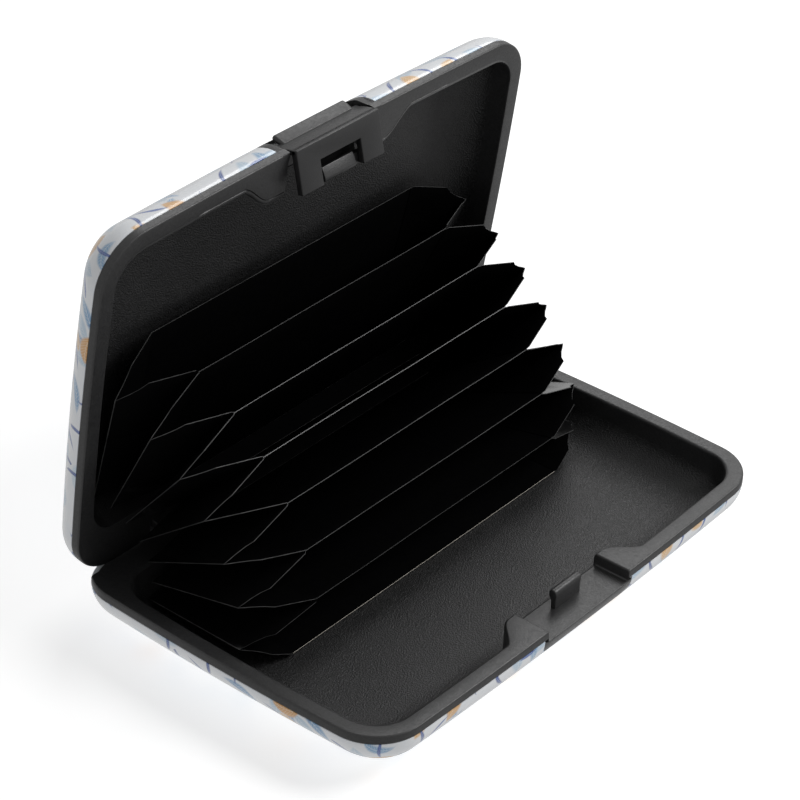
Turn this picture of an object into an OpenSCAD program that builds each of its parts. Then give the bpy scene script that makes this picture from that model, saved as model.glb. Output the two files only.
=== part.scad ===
// Rigid card case, drawn open. Two shallow pillow-shaped halves turn on a back hinge. An accordion of
// eight film leaves joined by seven pleats lies between them, and a latch on the lid reaches a catch
// on the base. The origin is the middle of the base's flat underside, X runs along the hinge and -Y
// points to the catch. The lid is drawn in its closed place and then turned up about the hinge.

/* [Case] */
// Length of the frame between its corner tangents' chords
case_l = 106.2; // [102:0.1:110]
// Depth of the frame from catch side to hinge side
case_w = 68.4; // [66:0.1:71]
// Height of the closed case
case_h = 20.4; // [19.5:0.1:22]
// Outward bow of the short ends
bow_end = 0.88; // [0.3:0.01:1.2]
// Outward bow of the catch side
bow_side = 0.92; // [0.3:0.01:1.2]
// How far the straight hinge side stands out past the catch side's chord
back_more = 1.3; // [1.1:0.05:1.4]
// Corner radius of the frame
corner_r = 8.8; // [7.8:0.1:9.4]
// Height of the frame's visible band
band_h = 1.6; // [1.3:0.1:2]
// Gap between the two rims when closed
rim_gap = 0.1; // [0.05:0.01:0.2]

/* [Skins] */
// Thickness of the pressed outer skin
skin_t = 0.8; // [0.6:0.05:0.9]
// How far the pillow curves in at the short ends
pillow_end = 14.9; // [13:0.1:17]
// How far the pillow curves in at the catch side
pillow_side = 12.2; // [11:0.1:13.5]
// How far the pillow curves in at the hinge side
pillow_back = 12.6; // [11.5:0.1:13.5]

/* [Trays] */
// Width of the rim at the ends and the catch side
rim_w = 3.07; // [2.7:0.01:3.4]
// Corner radius inside the rim
rim_inner_r = 6.2; // [5.4:0.1:7]
// Width of the rim along the hinge side
hinge_rim_w = 8.5; // [8.2:0.1:8.8]
// Depth of the trays below the rim
tray_depth = 8.75; // [8.6:0.05:8.8]
// Height of the steep part of a tray's wall
wall_h = 3.6; // [3:0.1:4.5]
// How far the tray's soft corner runs in at the ends and the catch side
dish_run = 8.5; // [7:0.1:9.5]
// Width of the fine step along the lid's inner rim
lip_w = 0.5; // [0.3:0.05:0.7]
// Depth of the fine step along the lid's inner rim
lip_h = 0.3; // [0.2:0.05:0.5]

/* [Hinge] */
// Angle at which the lid stands open
open_angle = 81.8; // [70:0.1:88]
// How far the hinge axis lies in from the frame's hinge side
hinge_in = 1.84; // [1.7:0.01:1.9]
// Radius of the knuckles
knuckle_r = 2.3; // [2:0.05:2.4]
// Diameter of the hinge pins
hinge_pin_d = 1.5; // [1.2:0.1:1.8]
// Distance of each knuckle group's middle from the end of the case
knuckle_in = 26; // [20:0.1:30]
// Length of each knuckle group
knuckle_group = 16; // [13:0.5:16]
// How far the base's rim stops short of the hinge axis
swing_in = 1.7; // [1.6:0.05:2.2]

/* [Ears and catch] */
// How far the base's ears reach in from the frame's catch side
base_ear_in = 6.7; // [6.2:0.1:7]
// Half length of the base ears' straight edge
base_ear_flat = 13; // [12.5:0.1:14]
// Half length of the base ears to the end of their curve
base_ear_end = 19.6; // [18:0.1:22]
// How far the lid's ears reach in from the frame's catch side
lid_ear_in = 7.1; // [6.6:0.1:7.2]
// Half length of the lid ears' straight edge
lid_ear_flat = 14.2; // [13.6:0.1:15]
// Half length of the lid ears to the end of their curve
lid_ear_end = 22; // [20:0.1:24]
// Half width of the recess between the base's ears
recess_x = 11.3; // [11:0.1:11.8]
// Depth of that recess below the rim
recess_h = 2.2; // [2.15:0.05:2.4]
// Half width of the boss on the catch side
boss_x = 12.2; // [12:0.1:12.8]
// Depth of the boss's lower edge below the rim
boss_h = 5; // [4.5:0.1:5.4]
// Corner radius of the boss
boss_r = 2.5; // [2:0.1:2.8]
// Half width of the catch bar
catch_x = 3.55; // [3:0.05:3.6]
// Height of the catch bar above the rim
catch_h = 1.5; // [1.2:0.1:1.6]
// How far the catch bar's outer face lies in from the frame's catch side
catch_in = 3.7; // [3.6:0.05:3.8]
// Thickness of the catch bar's foot
catch_t = 1; // [0.9:0.05:1]
// How far the catch bar's nose stands out from its foot
catch_nose = 0.55; // [0.4:0.05:0.6]

/* [Latch] */
// Half width of the latch
latch_x = 10.4; // [10:0.1:10.5]
// Length of the latch plate
plate_l = 8.07; // [7.6:0.01:8.2]
// Thickness of the latch plate
plate_t = 1.3; // [1:0.1:1.4]
// Height of the latch's outer wall
latch_wall_h = 5.54; // [5.2:0.01:5.8]
// Thickness of that wall
latch_wall_t = 1; // [0.8:0.1:1.2]
// Radius of the latch wall's upper corners
latch_corner_r = 2.8; // [2.2:0.1:3]
// Half width of the plate's notch
notch_x = 5.1; // [4.7:0.1:5.4]
// Distance of the notch from the plate's outer edge
notch_at = 3.45; // [3.3:0.01:3.55]
// Half width of the hook tongue
tongue_x = 3.95; // [3.7:0.05:4.2]
// Distance of the tongue's edge from the plate's outer edge
tongue_at = 5.52; // [5.5:0.01:5.6]
// How far the tongue's edge lies behind the plate's face
tongue_back = 1.23; // [1:0.01:1.3]
// Half length of the thumb ridge
ridge_x = 9; // [8:0.1:9.2]
// How far the thumb ridge runs up past the wall
ridge_l = 1.7; // [1.4:0.1:1.9]
// Thickness of the thumb ridge
ridge_t = 1.1; // [0.9:0.1:1.2]
// Tilt of the resting latch plate to the rim
latch_tilt = 19.85; // [19:0.05:20]
// How far the plate's outer edge stands out from the frame's catch side, latch at rest
plate_out = 1.54; // [1.4:0.01:1.6]
// How far the plate's outer edge stands proud of the rim, latch at rest
plate_z = 0.97; // [0.9:0.01:1.1]
// Diameter of the latch pin
latch_pin_d = 1; // [0.8:0.1:1.1]
// Distance of the latch pin from the latch's outer wall face
latch_pin_in = 1.16; // [1.15:0.01:1.2]
// Height of the latch pin above the plate's face
latch_pin_up = 4.85; // [4.7:0.01:4.9]
// Diameter of the latch spring's wire
spring_wire = 0.3; // [0.25:0.05:0.35]
// Number of coils in the latch spring
spring_coils = 6; // [4:1:8]

/* [Accordion] */
// Thickness of the film
film_t = 0.3; // [0.25:0.01:0.35]
// Width of each side gusset, from the leaves to the outer folds
gusset_w = 13.7; // [12.9:0.1:14.9]
// How much further the base's leaf reaches out than the others, each side
base_leaf_more = 4.1; // [2.8:0.1:4.8]
// How much further the lid's leaf reaches out than the others, each side
lid_leaf_more = 1.4; // [0:0.1:1.8]
// Distance of the leaves' roots from the hinge axis, along the rim
root_in = 7.3; // [7.2:0.1:7.6]
// Reach of the shortest leaf from the hinge axis
leaf_reach = 34; // [32:0.1:35]
// How much further the lowest loose leaf reaches than the shortest
reach_more = 1.75; // [1:0.05:1.8]
// Reach of the lid's leaf
lid_leaf_reach = 39.5; // [38:0.1:40]
// Depth of the lid's leaf at its free edge, closed
lid_leaf_h = 5.97; // [5.6:0.01:6.2]
// Distance of the lowest loose leaf's edge below the rim, closed
low_leaf_h = 5.5; // [5.3:0.1:5.8]
// Angle between neighbouring leaves when closed
leaf_angle = 2.85; // [2.6:0.05:2.9]
// How far the gussets' outer folds stay in from the ends of the case
tip_end_in = 7.2; // [6.9:0.1:8.1]
// How far the outer folds run in towards their roots
tip_root_in = 2.3; // [1.9:0.1:3.9]
// How far the outer folds stop short of the leaves' edges
tip_in = 4.3; // [4:0.1:4.6]
// Width of the bevel on each gusset's corner
bevel_w = 4.9; // [3.9:0.1:5.9]
// How far the bevel's corner stops short of the leaves' edges
bevel_in = 0.8; // [0.6:0.05:1]
// Thickness of the adhesive tape under the outer leaves
tape_t = 0.2; // [0.15:0.01:0.25]
// Length of the tapes along the leaf
tape_l = 12; // [8:0.5:16]

/* [Fits] */
// Radial clearance of the pins
pin_clear = 0.05; // [0.02:0.01:0.08]
// Clearance between a moving piece and what it passes
run_clear = 0.2; // [0.15:0.01:0.25]
// Gap between pieces that are fixed together
seat_gap = 0.05; // [0.02:0.01:0.06]

/* [Hidden] */
LEAVES = 8;
PLEATS = LEAVES - 1;
$fn = 48;

// one overrun for every cut
over = 1;
half_h = (case_h - rim_gap) / 2;
half_l = case_l / 2;
half_w = case_w / 2;
pillow_h = half_h - band_h;
hinge_z = half_h + rim_gap / 2;
half_back = half_w + back_more;
hinge_y = half_back - hinge_in;
knuckle_x = half_l - knuckle_in;
base_ear_y = half_w - base_ear_in;
lid_ear_y = half_w - lid_ear_in;
catch_y = half_w - catch_in;
plate_y = half_w + plate_out;
tip_x = half_l - tip_end_in;
tip_root_x = tip_x - tip_root_in;
bevel_x = tip_x - bevel_w;
leaf_x = tip_x - gusset_w;
base_leaf_x = leaf_x + base_leaf_more;
lid_leaf_x = leaf_x + lid_leaf_more;
// the base's rim ends here, where the lid's back edge swings down
swing_y = hinge_y - swing_in;
swing_h = knuckle_r * 0.83;

// points round one quarter corner and along one side of an outline
CORNER_STEPS = 8;
SIDE_STEPS = 5;
PILLOW_STEPS = 8;
DISH_STEPS = 5;

// the sharpest corner that a ring may have
least_r = skin_t;

// an outline with round corners of radius r, its front edge at -f and its straight back edge at b;
// its other sides bow out
function corner_pts(cx, cy, r, from) =
    [for (k = [0:CORNER_STEPS]) let (a = from + 90 * k / CORNER_STEPS) [cx + r * cos(a), cy + r * sin(a)]];
function side_pts(p, q) = [for (k = [1:SIDE_STEPS - 1]) p + (q - p) * k / SIDE_STEPS];
function rounded_pts(hl, f, b, r) = let (
    c1 = corner_pts(hl - r, r - f, r, 270), c2 = corner_pts(hl - r, b - r, r, 0),
    c3 = corner_pts(r - hl, b - r, r, 90), c4 = corner_pts(r - hl, r - f, r, 180),
    last = CORNER_STEPS
) concat(c1, side_pts(c1[last], c2[0]), c2, side_pts(c2[last], c3[0]),
         c3, side_pts(c3[last], c4[0]), c4, side_pts(c4[last], c1[0]));
function bowed(p, hl, f, b) = let (
    mid = (b - f) / 2, hw = (b + f) / 2,
    u = max(-1, min(1, p[0] / hl)), v = max(-1, min(1, (p[1] - mid) / hw))
) [p[0] + sign(u) * bow_end * (1 - v * v) * pow(abs(u), 4),
   p[1] - bow_side * (1 - u * u) * pow(min(0, v), 4)];
function outline(end_in, front_in, back_in, r) = let (
    hl = half_l - end_in, f = half_w - front_in, b = half_back - back_in
) [for (p = rounded_pts(hl, f, b, max(r, least_r))) bowed(p, hl, f, b)];

// one ring of a shell at height z, and the shell that runs through a list of rings
function ring(pts, z) = [for (p = pts) [p[0], p[1], z]];
module rings(list) {
    n = len(list[0]);
    last = len(list) - 1;
    points = [for (r = list) each r];
    walls = [for (i = [0:last - 1]) for (k = [0:n - 1]) let (
        a = i * n + k, b = i * n + (k + 1) % n
    ) each [[a, b + n, b], [a, a + n, b + n]]];
    foot = [for (k = [0:n - 1]) k];
    head = [for (k = [0:n - 1]) last * n + n - 1 - k];
    polyhedron(points, concat(walls, [foot, head]), convexity = 4);
}

// the pillow's side curve is a quarter ellipse, drawn t inside the outer skin; z falls from the band
function pillow_ring(t, a) = let (
    e = pillow_end - (pillow_end - t) * cos(a), s = pillow_side - (pillow_side - t) * cos(a),
    b = pillow_back - (pillow_back - t) * cos(a)
) ring(outline(e, s, b, corner_r - (e + s) / 2), half_h - band_h - (pillow_h - t) * sin(a));
// a pillow drawn t inside the skin, from its flat bottom up to the given height
module pillow(t, top) {
    steps = [for (k = [0:PILLOW_STEPS]) pillow_ring(t, 90 - 90 * k / PILLOW_STEPS)];
    rings(concat(steps, [ring(outline(t, t, t, corner_r - t), top)]));
}

// a tray's hollow: a steep wall, then a soft curve down to the floor; its hinge side stays steep
draft = rim_w / 8;
module dish() {
    drop = tray_depth - wall_h;
    floor_z = half_h - tray_depth;
    steps = [for (k = [0:DISH_STEPS]) let (
        a = 90 - 90 * k / DISH_STEPS, in = rim_w + draft + dish_run * (1 - cos(a)),
        back = hinge_rim_w + draft / 2
    ) ring(outline(in, in, back, rim_inner_r - draft), floor_z + drop * (1 - sin(a)))];
    rim = ring(outline(rim_w, rim_w, hinge_rim_w, rim_inner_r), half_h);
    above = ring(outline(rim_w, rim_w, hinge_rim_w, rim_inner_r), half_h + over);
    rings(concat(steps, [rim, above]));
}

// the S-curve of an ear, from its straight edge out to the rim
EAR_STEPS = 10;
module ear_block(ear_y, flat, end) {
    rim_y = half_w + bow_side - rim_w;
    curve = [for (k = [0:EAR_STEPS]) let (u = k / EAR_STEPS)
        [end + (flat - end) * u, -rim_y + (rim_y - ear_y) * (1 - cos(180 * u)) / 2]];
    other = [for (k = [0:EAR_STEPS]) [-curve[EAR_STEPS - k][0], curve[EAR_STEPS - k][1]]];
    linear_extrude(half_h + over) polygon(concat([[-end, -half_w - over], [end, -half_w - over]], curve, other));
}

// turns a piece from its closed place to the open lid's place
module opened(angle = open_angle) {
    translate([0, hinge_y, hinge_z]) rotate([-angle, 0, 0]) translate([0, -hinge_y, -hinge_z]) children();
}
// puts a half that is drawn like the base upside down on top of it
module as_lid() {
    translate([0, 0, hinge_z * 2]) mirror([0, 0, 1]) children();
}

// a bar along X from x0 to x1, in hinge places
module rod(x0, x1, r) {
    translate([x0, 0, 0]) rotate([0, 90, 0]) cylinder(r = r, h = x1 - x0);
}
module at_hinge() {
    translate([0, hinge_y, hinge_z]) children();
}

// knuckles: the lid's lies between the base's two in each group
lid_knuckle_share = 0.4;
lid_knuckle_l = knuckle_group * lid_knuckle_share;
base_knuckle_l = (knuckle_group - lid_knuckle_l) / 2 - run_clear;
lid_knuckles = [for (s = [-1, 1]) s * knuckle_x - lid_knuckle_l / 2];
base_knuckles = [for (s = [-1, 1]) for (e = [-1, 1])
    s * knuckle_x + e * (knuckle_group - base_knuckle_l) / 2 - base_knuckle_l / 2];
module knuckle_set(list, l, r) {
    for (x = list) at_hinge() rod(x, x + l, r);
}
// room for the other half's knuckles
module knuckle_room(list, l) {
    for (x = list) at_hinge() rod(x - run_clear, x + l + run_clear, knuckle_r + run_clear);
}
module all_knuckle_room() {
    knuckle_room(lid_knuckles, lid_knuckle_l);
    knuckle_room(base_knuckles, base_knuckle_l);
}
module hinge_bores() {
    for (s = [-1, 1]) at_hinge()
        rod(s * knuckle_x - knuckle_group / 2 - over, s * knuckle_x + knuckle_group / 2 + over, hinge_pin_d / 2 + pin_clear);
}

// the strip behind the hinge line that the lid's back edge swings through
module swing_cut() {
    translate([-case_l, swing_y, half_h - swing_h]) cube([2 * case_l, case_w, half_h + over]);
}

// outline of a half's front boss, seen from the front, z up from the floor
module boss_face(hx, h, r) {
    hull() {
        for (s = [-1, 1]) translate([s * (hx - r), half_h - h + r]) circle(r, $fn = 32);
        translate([-hx, half_h + over]) square([2 * hx, over]);
    }
}
module front_prism(depth) {
    translate([0, -half_w - bow_side + depth, 0]) rotate([90, 0, 0]) linear_extrude(depth + over) children();
}
boss_d = recess_x / 3;

// outer shell of a half, open where the boss shows
module skin(hx, h, r) {
    difference() {
        pillow(0, half_h - band_h);
        pillow(skin_t, half_h);
        front_prism(boss_d) boss_face(hx + seat_gap, h + seat_gap, r);
    }
}
// frame of a half: band, rim, tray and front boss, before its own cuts
module frame_body(hx, h, r) {
    difference() {
        union() {
            pillow(skin_t + seat_gap, half_h - band_h / 2);
            translate([0, 0, half_h - band_h]) linear_extrude(band_h) polygon(outline(0, 0, 0, corner_r));
            intersection() {
                pillow(0, half_h);
                front_prism(boss_d) boss_face(hx, h, r);
            }
        }
        difference() {
            dish();
            children();
        }
    }
}

module base_skin() {
    color("aliceblue") difference() {
        skin(boss_x, boss_h, boss_r);
        swing_cut();
        all_knuckle_room();
    }
}

// side view of the catch bar, its nose towards the case
module catch_bar() {
    foot = -catch_y;
    top = half_h + catch_h;
    back = foot + catch_t;
    points = [
        [foot, half_h - recess_h - over], [foot, top - catch_h * 0.85], [back - catch_t * 0.15, top],
        [back + catch_nose * 0.5, top - catch_h * 0.35], [back + catch_nose, top - catch_h * 0.8],
        [back + catch_nose * 0.3, top - catch_h * 1.5], [back, half_h - recess_h - over]
    ];
    rotate([90, 0, 90]) translate([0, 0, -catch_x]) linear_extrude(2 * catch_x) polygon(points);
}

module base_frame() {
    color("dimgray") difference() {
        union() {
            difference() {
                frame_body(boss_x, boss_h, boss_r) ear_block(base_ear_y, base_ear_flat, base_ear_end);
                swing_cut();
                translate([-recess_x, -case_w, half_h - recess_h]) cube([2 * recess_x, case_w - base_ear_y + over, half_h]);
            }
            knuckle_set(base_knuckles, base_knuckle_l, knuckle_r);
            catch_bar();
        }
        knuckle_room(lid_knuckles, lid_knuckle_l);
        hinge_bores();
    }
}

// the lid's front arch, and the window in it that the latch swings in
arch_h = latch_wall_h + ridge_l;
arch_x = latch_x + latch_wall_t * 2;
window_x = latch_x + run_clear * 1.5;
recess_in_h = latch_wall_h - latch_wall_t;
module lid_skin() {
    color("aliceblue") opened() difference() {
        as_lid() skin(arch_x, arch_h + latch_wall_t, latch_corner_r * 1.5);
        all_knuckle_room();
    }
}

module lid_frame() {
    color("dimgray") opened() difference() {
        union() {
            as_lid() difference() {
                frame_body(arch_x, arch_h + latch_wall_t, latch_corner_r * 1.5)
                    ear_block(lid_ear_y, lid_ear_flat, lid_ear_end);
                translate([0, 0, half_h - lip_h]) linear_extrude(lip_h + over)
                    polygon(outline(rim_w - lip_w, rim_w - lip_w, hinge_rim_w - lip_w, rim_inner_r + lip_w));
                translate([-window_x, -case_w, half_h - recess_in_h])
                    cube([2 * window_x, case_w - lid_ear_y + over, half_h]);
                front_prism(boss_d) boss_face(window_x, arch_h, latch_corner_r);
            }
            knuckle_set(lid_knuckles, lid_knuckle_l, knuckle_r);
        }
        knuckle_room(base_knuckles, base_knuckle_l);
        hinge_bores();
        at_latch_pin() rod(-latch_pin_l / 2 - pin_clear, latch_pin_l / 2 + pin_clear, latch_pin_d / 2 + pin_clear);
    }
}

module hinge_pin(side) {
    color("silver") at_hinge()
        rod(side * knuckle_x - knuckle_group / 2, side * knuckle_x + knuckle_group / 2, hinge_pin_d / 2);
}
module hinge_pin_left() hinge_pin(-1);
module hinge_pin_right() hinge_pin(1);

// the latch is drawn flat: Y runs along its plate from the outer edge, Z up from the plate's face
latch_pin_l = 2 * (window_x + latch_wall_t);
module latch_place() {
    translate([0, -plate_y, half_h + rim_gap - plate_z]) rotate([-latch_tilt, 0, 0]) children();
}
module at_latch_pin() {
    latch_place() translate([0, latch_pin_in, latch_pin_up]) children();
}
barrel_r = latch_pin_in - seat_gap;
spring_x = latch_x / 3;
spring_r = (latch_pin_d + spring_wire) / 2 + 2 * pin_clear;
spring_room_r = spring_r + spring_wire / 2 + pin_clear;

module latch_wall() {
    translate([0, latch_wall_t, 0]) rotate([90, 0, 0]) linear_extrude(latch_wall_t) hull() {
        translate([-latch_x, 0]) square([2 * latch_x, latch_wall_t]);
        for (s = [-1, 1]) translate([s * (latch_x - latch_corner_r), latch_wall_h - latch_corner_r])
            circle(latch_corner_r, $fn = 32);
    }
}
// the thumb ridge is a bar with round ends that leans out past the wall
module thumb_ridge() {
    reach = ridge_l + ridge_t;
    translate([0, ridge_t * 0.45, latch_wall_h - ridge_t]) rotate([30, 0, 0]) hull()
        for (s = [-1, 1]) for (z = [ridge_t / 2, reach - ridge_t / 2])
            translate([s * (ridge_x - ridge_t / 2), 0, z]) sphere(ridge_t / 2, $fn = 16);
}
module tongue() {
    bar_x = notch_x + latch_wall_t * 1.5;
    back = tongue_back + plate_t;
    points = [
        [tongue_at, tongue_back], [plate_l - catch_nose, tongue_back * 0.54], [plate_l, tongue_back * 0.7],
        [plate_l, back], [tongue_at + catch_nose, back], [tongue_at, tongue_back + catch_nose]
    ];
    rotate([90, 0, 90]) translate([0, 0, -tongue_x]) linear_extrude(2 * tongue_x) polygon(points);
    translate([-bar_x, tongue_at + catch_nose, plate_t - seat_gap])
        cube([2 * bar_x, plate_l - tongue_at - catch_nose, tongue_back + seat_gap]);
}
module latch() {
    color("gray") opened() latch_place() difference() {
        union() {
            difference() {
                union() {
                    translate([-latch_x, 0, 0]) cube([2 * latch_x, plate_l, plate_t]);
                    latch_wall();
                    thumb_ridge();
                    translate([0, latch_pin_in, latch_pin_up]) rod(-latch_x, latch_x, barrel_r);
                }
                translate([-notch_x, notch_at, -over]) cube([2 * notch_x, plate_l, plate_t + 2 * over]);
                translate([0, latch_pin_in, latch_pin_up]) rod(-spring_x, spring_x, spring_room_r);
                translate([-spring_x, latch_wall_t, plate_t + seat_gap])
                    cube([2 * spring_x, 2 * barrel_r, latch_wall_h]);
            }
            tongue();
        }
        translate([0, latch_pin_in, latch_pin_up]) rod(-latch_x - over, latch_x + over, latch_pin_d / 2 + pin_clear);
    }
}

module latch_pin() {
    color("silver") opened() at_latch_pin() rod(-latch_pin_l / 2, latch_pin_l / 2, latch_pin_d / 2);
}

// the spring's wire winds round the latch pin and both its ends reach out as legs
SPRING_SIDES = 6;
SPRING_STEPS = 8;
spring_pitch = spring_wire * 1.4;
function spring_path() = let (
    turns = spring_coils, n = turns * SPRING_STEPS, l = turns * spring_pitch, leg = plate_l / 4
) concat(
    [[-l / 2, spring_r + leg, 0]],
    [for (k = [0:n]) let (a = 90 - 360 * k / SPRING_STEPS) [l * (k / n - 0.5), spring_r * sin(a), spring_r * cos(a)]],
    [[l / 2, spring_r + leg, leg / 4]]
);
module tube(path, r) {
    last = len(path) - 1;
    ring_at = [for (i = [0:last]) let (
        t = path[min(i + 1, last)] - path[max(i - 1, 0)], d = t / norm(t),
        u = cross(d, [0, 0.3, 1]) / norm(cross(d, [0, 0.3, 1])), v = cross(d, u)
    ) [for (k = [0:SPRING_SIDES - 1]) path[i] + r * (cos(360 * k / SPRING_SIDES) * u + sin(360 * k / SPRING_SIDES) * v)]];
    rings(ring_at);
}
module latch_spring() {
    color("silver") opened() at_latch_pin() tube(spring_path(), spring_wire / 2);
}

// the accordion: leaf i turns by its share of the lid's turn, leaf 1 with the lid and leaf 8 not at all
function turn(i) = open_angle * (LEAVES - i) / PLEATS;
function turned(p, angle) = let (y = p[0], z = p[1])
    [y * cos(angle) + z * sin(angle), -y * sin(angle) + z * cos(angle)];
// closed places are [Y, Z] from the hinge axis
floor_h = tray_depth + rim_gap / 2;
low_root = floor_h - tape_t - film_t / 2;
function root_closed(i) = [-root_in, low_root * (1 - 2 * (i - 1) / PLEATS)];
function low_angle() = asin(low_leaf_h / (leaf_reach + reach_more));
shortest_leaf = 4.7;
function reach(i) = leaf_reach + reach_more * pow((i - shortest_leaf) / (PLEATS - shortest_leaf), 2);
function edge_closed(i) =
    i == 1 ? [-sqrt(pow(lid_leaf_reach, 2) - pow(lid_leaf_h, 2)), lid_leaf_h] :
    i == LEAVES ? [-leaf_reach, -low_root] :
    let (a = -low_angle() + leaf_angle * (PLEATS - i)) [-reach(i) * cos(a), reach(i) * sin(a)];
function root(i) = turned(root_closed(i), turn(i));
function edge(i) = turned(edge_closed(i), turn(i));
function half_leaf(i) = i == 1 ? lid_leaf_x : i == LEAVES ? base_leaf_x : leaf_x;
function along(i) = (edge(i) - root(i)) / norm(edge(i) - root(i));
// the way from leaf i towards leaf i + 1
function down(i) = let (d = along(i)) [-d[1], d[0]];

module in_hinge_plane() {
    at_hinge() rotate([90, 0, 90]) children();
}
module leaf(i) {
    t = film_t / 2;
    points = [root(i) - down(i) * t, edge(i) - down(i) * t, edge(i) + down(i) * t, root(i) + down(i) * t];
    color("black") in_hinge_plane() translate([0, 0, -half_leaf(i)]) linear_extrude(2 * half_leaf(i)) polygon(points);
}
module leaf_1() leaf(1);
module leaf_2() leaf(2);
module leaf_3() leaf(3);
module leaf_4() leaf(4);
module leaf_5() leaf(5);
module leaf_6() leaf(6);
module leaf_7() leaf(7);
module leaf_8() leaf(8);

// where pleat g meets leaf i: film_off away from the leaf's middle, on the pleat's side
film_off = film_t + seat_gap;
function on_leaf(g, i, p) = p + down(i) * film_off * (i == g ? 1 : -1);
function space(x, p) = [x, hinge_y + p[0], hinge_z + p[1]];
function middle(p, q) = (p + q) / 2;
function tip_edge(g) = let (a = edge(g), b = edge(g + 1), m = middle(a, b), r = middle(root(g), root(g + 1)))
    m - (m - r) / norm(m - r) * tip_in;
function tip_root(g) = middle(root(g), root(g + 1));

// corners of one side of pleat g's middle surface: leaf g's edge, bevel, outer fold, bevel, edge of
// leaf g + 1, and back along the three roots
function bevel_at(g, i) = let (
    share = (bevel_x - half_leaf(i)) / (tip_x - half_leaf(i)), a = on_leaf(g, i, edge(i))
) a + (tip_edge(g) - a) * share + along(i) * (tip_in * share - bevel_in);
function side_corners(g, s) = [
    space(s * half_leaf(g), on_leaf(g, g, edge(g))), space(s * bevel_x, bevel_at(g, g)),
    space(s * tip_x, tip_edge(g)), space(s * bevel_x, bevel_at(g, g + 1)),
    space(s * half_leaf(g + 1), on_leaf(g, g + 1, edge(g + 1))),
    space(s * half_leaf(g + 1), on_leaf(g, g + 1, root(g + 1))), space(s * tip_root_x, tip_root(g)),
    space(s * half_leaf(g), on_leaf(g, g, root(g)))
];
// the five faces by corner: right gusset above and below, left gusset above and below, pocket bottom
PLEAT_FACES = [[0, 1, 2, 6, 7], [4, 5, 6, 2, 3], [15, 14, 10, 9, 8], [11, 10, 14, 13, 12], [7, 6, 5, 13, 14, 15]];
// the pleat's open border, round both gussets and both roots
PLEAT_BORDER = [7, 0, 1, 2, 3, 4, 5, 13, 12, 11, 10, 9, 8, 15];
function unit(v) = v / norm(v);
function total(list, k = 0) = k == len(list) - 1 ? list[k] : list[k] + total(list, k + 1);
function face_normal(pts, f) = unit(total([for (k = [0:len(f) - 1]) cross(pts[f[k]], pts[f[(k + 1) % len(f)]])]));
// how far a corner moves so that each face round it moves by one along its normal
function mitre(n) =
    len(n) == 1 ? n[0] :
    len(n) == 2 ? (n[0] + n[1]) / (1 + n[0] * n[1]) :
    (cross(n[1], n[2]) + cross(n[2], n[0]) + cross(n[0], n[1])) / (n[0] * cross(n[1], n[2]));
function fan(f) = [for (k = [1:len(f) - 2]) [f[0], f[k], f[k + 1]]];
function reversed(f) = [for (k = [len(f) - 1:-1:0]) f[k]];
module pleat(g) {
    mid = concat(side_corners(g, 1), side_corners(g, -1));
    n = len(mid);
    normals = [for (f = PLEAT_FACES) face_normal(mid, f)];
    moves = [for (v = [0:n - 1])
        mitre([for (k = [0:len(PLEAT_FACES) - 1]) if (len(search(v, PLEAT_FACES[k])) > 0) normals[k]]) * film_t / 2];
    points = concat(mid - moves, mid + moves);
    inner = [for (f = PLEAT_FACES) each fan(f)];
    outer = [for (t = inner) reversed([for (v = t) v + n])];
    last = len(PLEAT_BORDER);
    rim = [for (k = [0:last - 1]) let (a = PLEAT_BORDER[k], b = PLEAT_BORDER[(k + 1) % last])
        each [[a + n, b + n, b], [a + n, b, a]]];
    color("black") polyhedron(points, concat(inner, outer, rim));
}
module pleat_1() pleat(1);
module pleat_2() pleat(2);
module pleat_3() pleat(3);
module pleat_4() pleat(4);
module pleat_5() pleat(5);
module pleat_6() pleat(6);
module pleat_7() pleat(7);

// adhesive tapes hold the first leaf in the lid and the last one in the base
module tape(points) {
    color("dimgray") in_hinge_plane() translate([0, 0, -leaf_x]) linear_extrude(2 * leaf_x) polygon(points);
}
module tape_base() {
    tape([
        [-root_in - tape_l, -floor_h], [-root_in, -floor_h],
        [-root_in, -floor_h + tape_t], [-root_in - tape_l, -floor_h + tape_t]
    ]);
}
module tape_lid() {
    a = root_closed(1);
    d = (edge_closed(1) - a) / norm(edge_closed(1) - a);
    up = [d[1], -d[0]];
    b = a + d * tape_l;
    points = [
        [a[0], floor_h], [b[0], floor_h],
        b + up * film_t / 2, a + up * film_t / 2
    ];
    tape([for (p = points) turned(p, open_angle)]);
}

base_skin();
base_frame();
lid_skin();
lid_frame();
hinge_pin_left();
hinge_pin_right();
latch();
latch_pin();
latch_spring();
tape_base();
tape_lid();
leaf_1();
leaf_2();
leaf_3();
leaf_4();
leaf_5();
leaf_6();
leaf_7();
leaf_8();
pleat_1();
pleat_2();
pleat_3();
pleat_4();
pleat_5();
pleat_6();
pleat_7();
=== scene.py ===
from math import asin, copysign, cos, dist, hypot, pi, radians, sin, sqrt

import bmesh
import bpy
import numpy as np
from mathutils import Matrix, Vector


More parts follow.
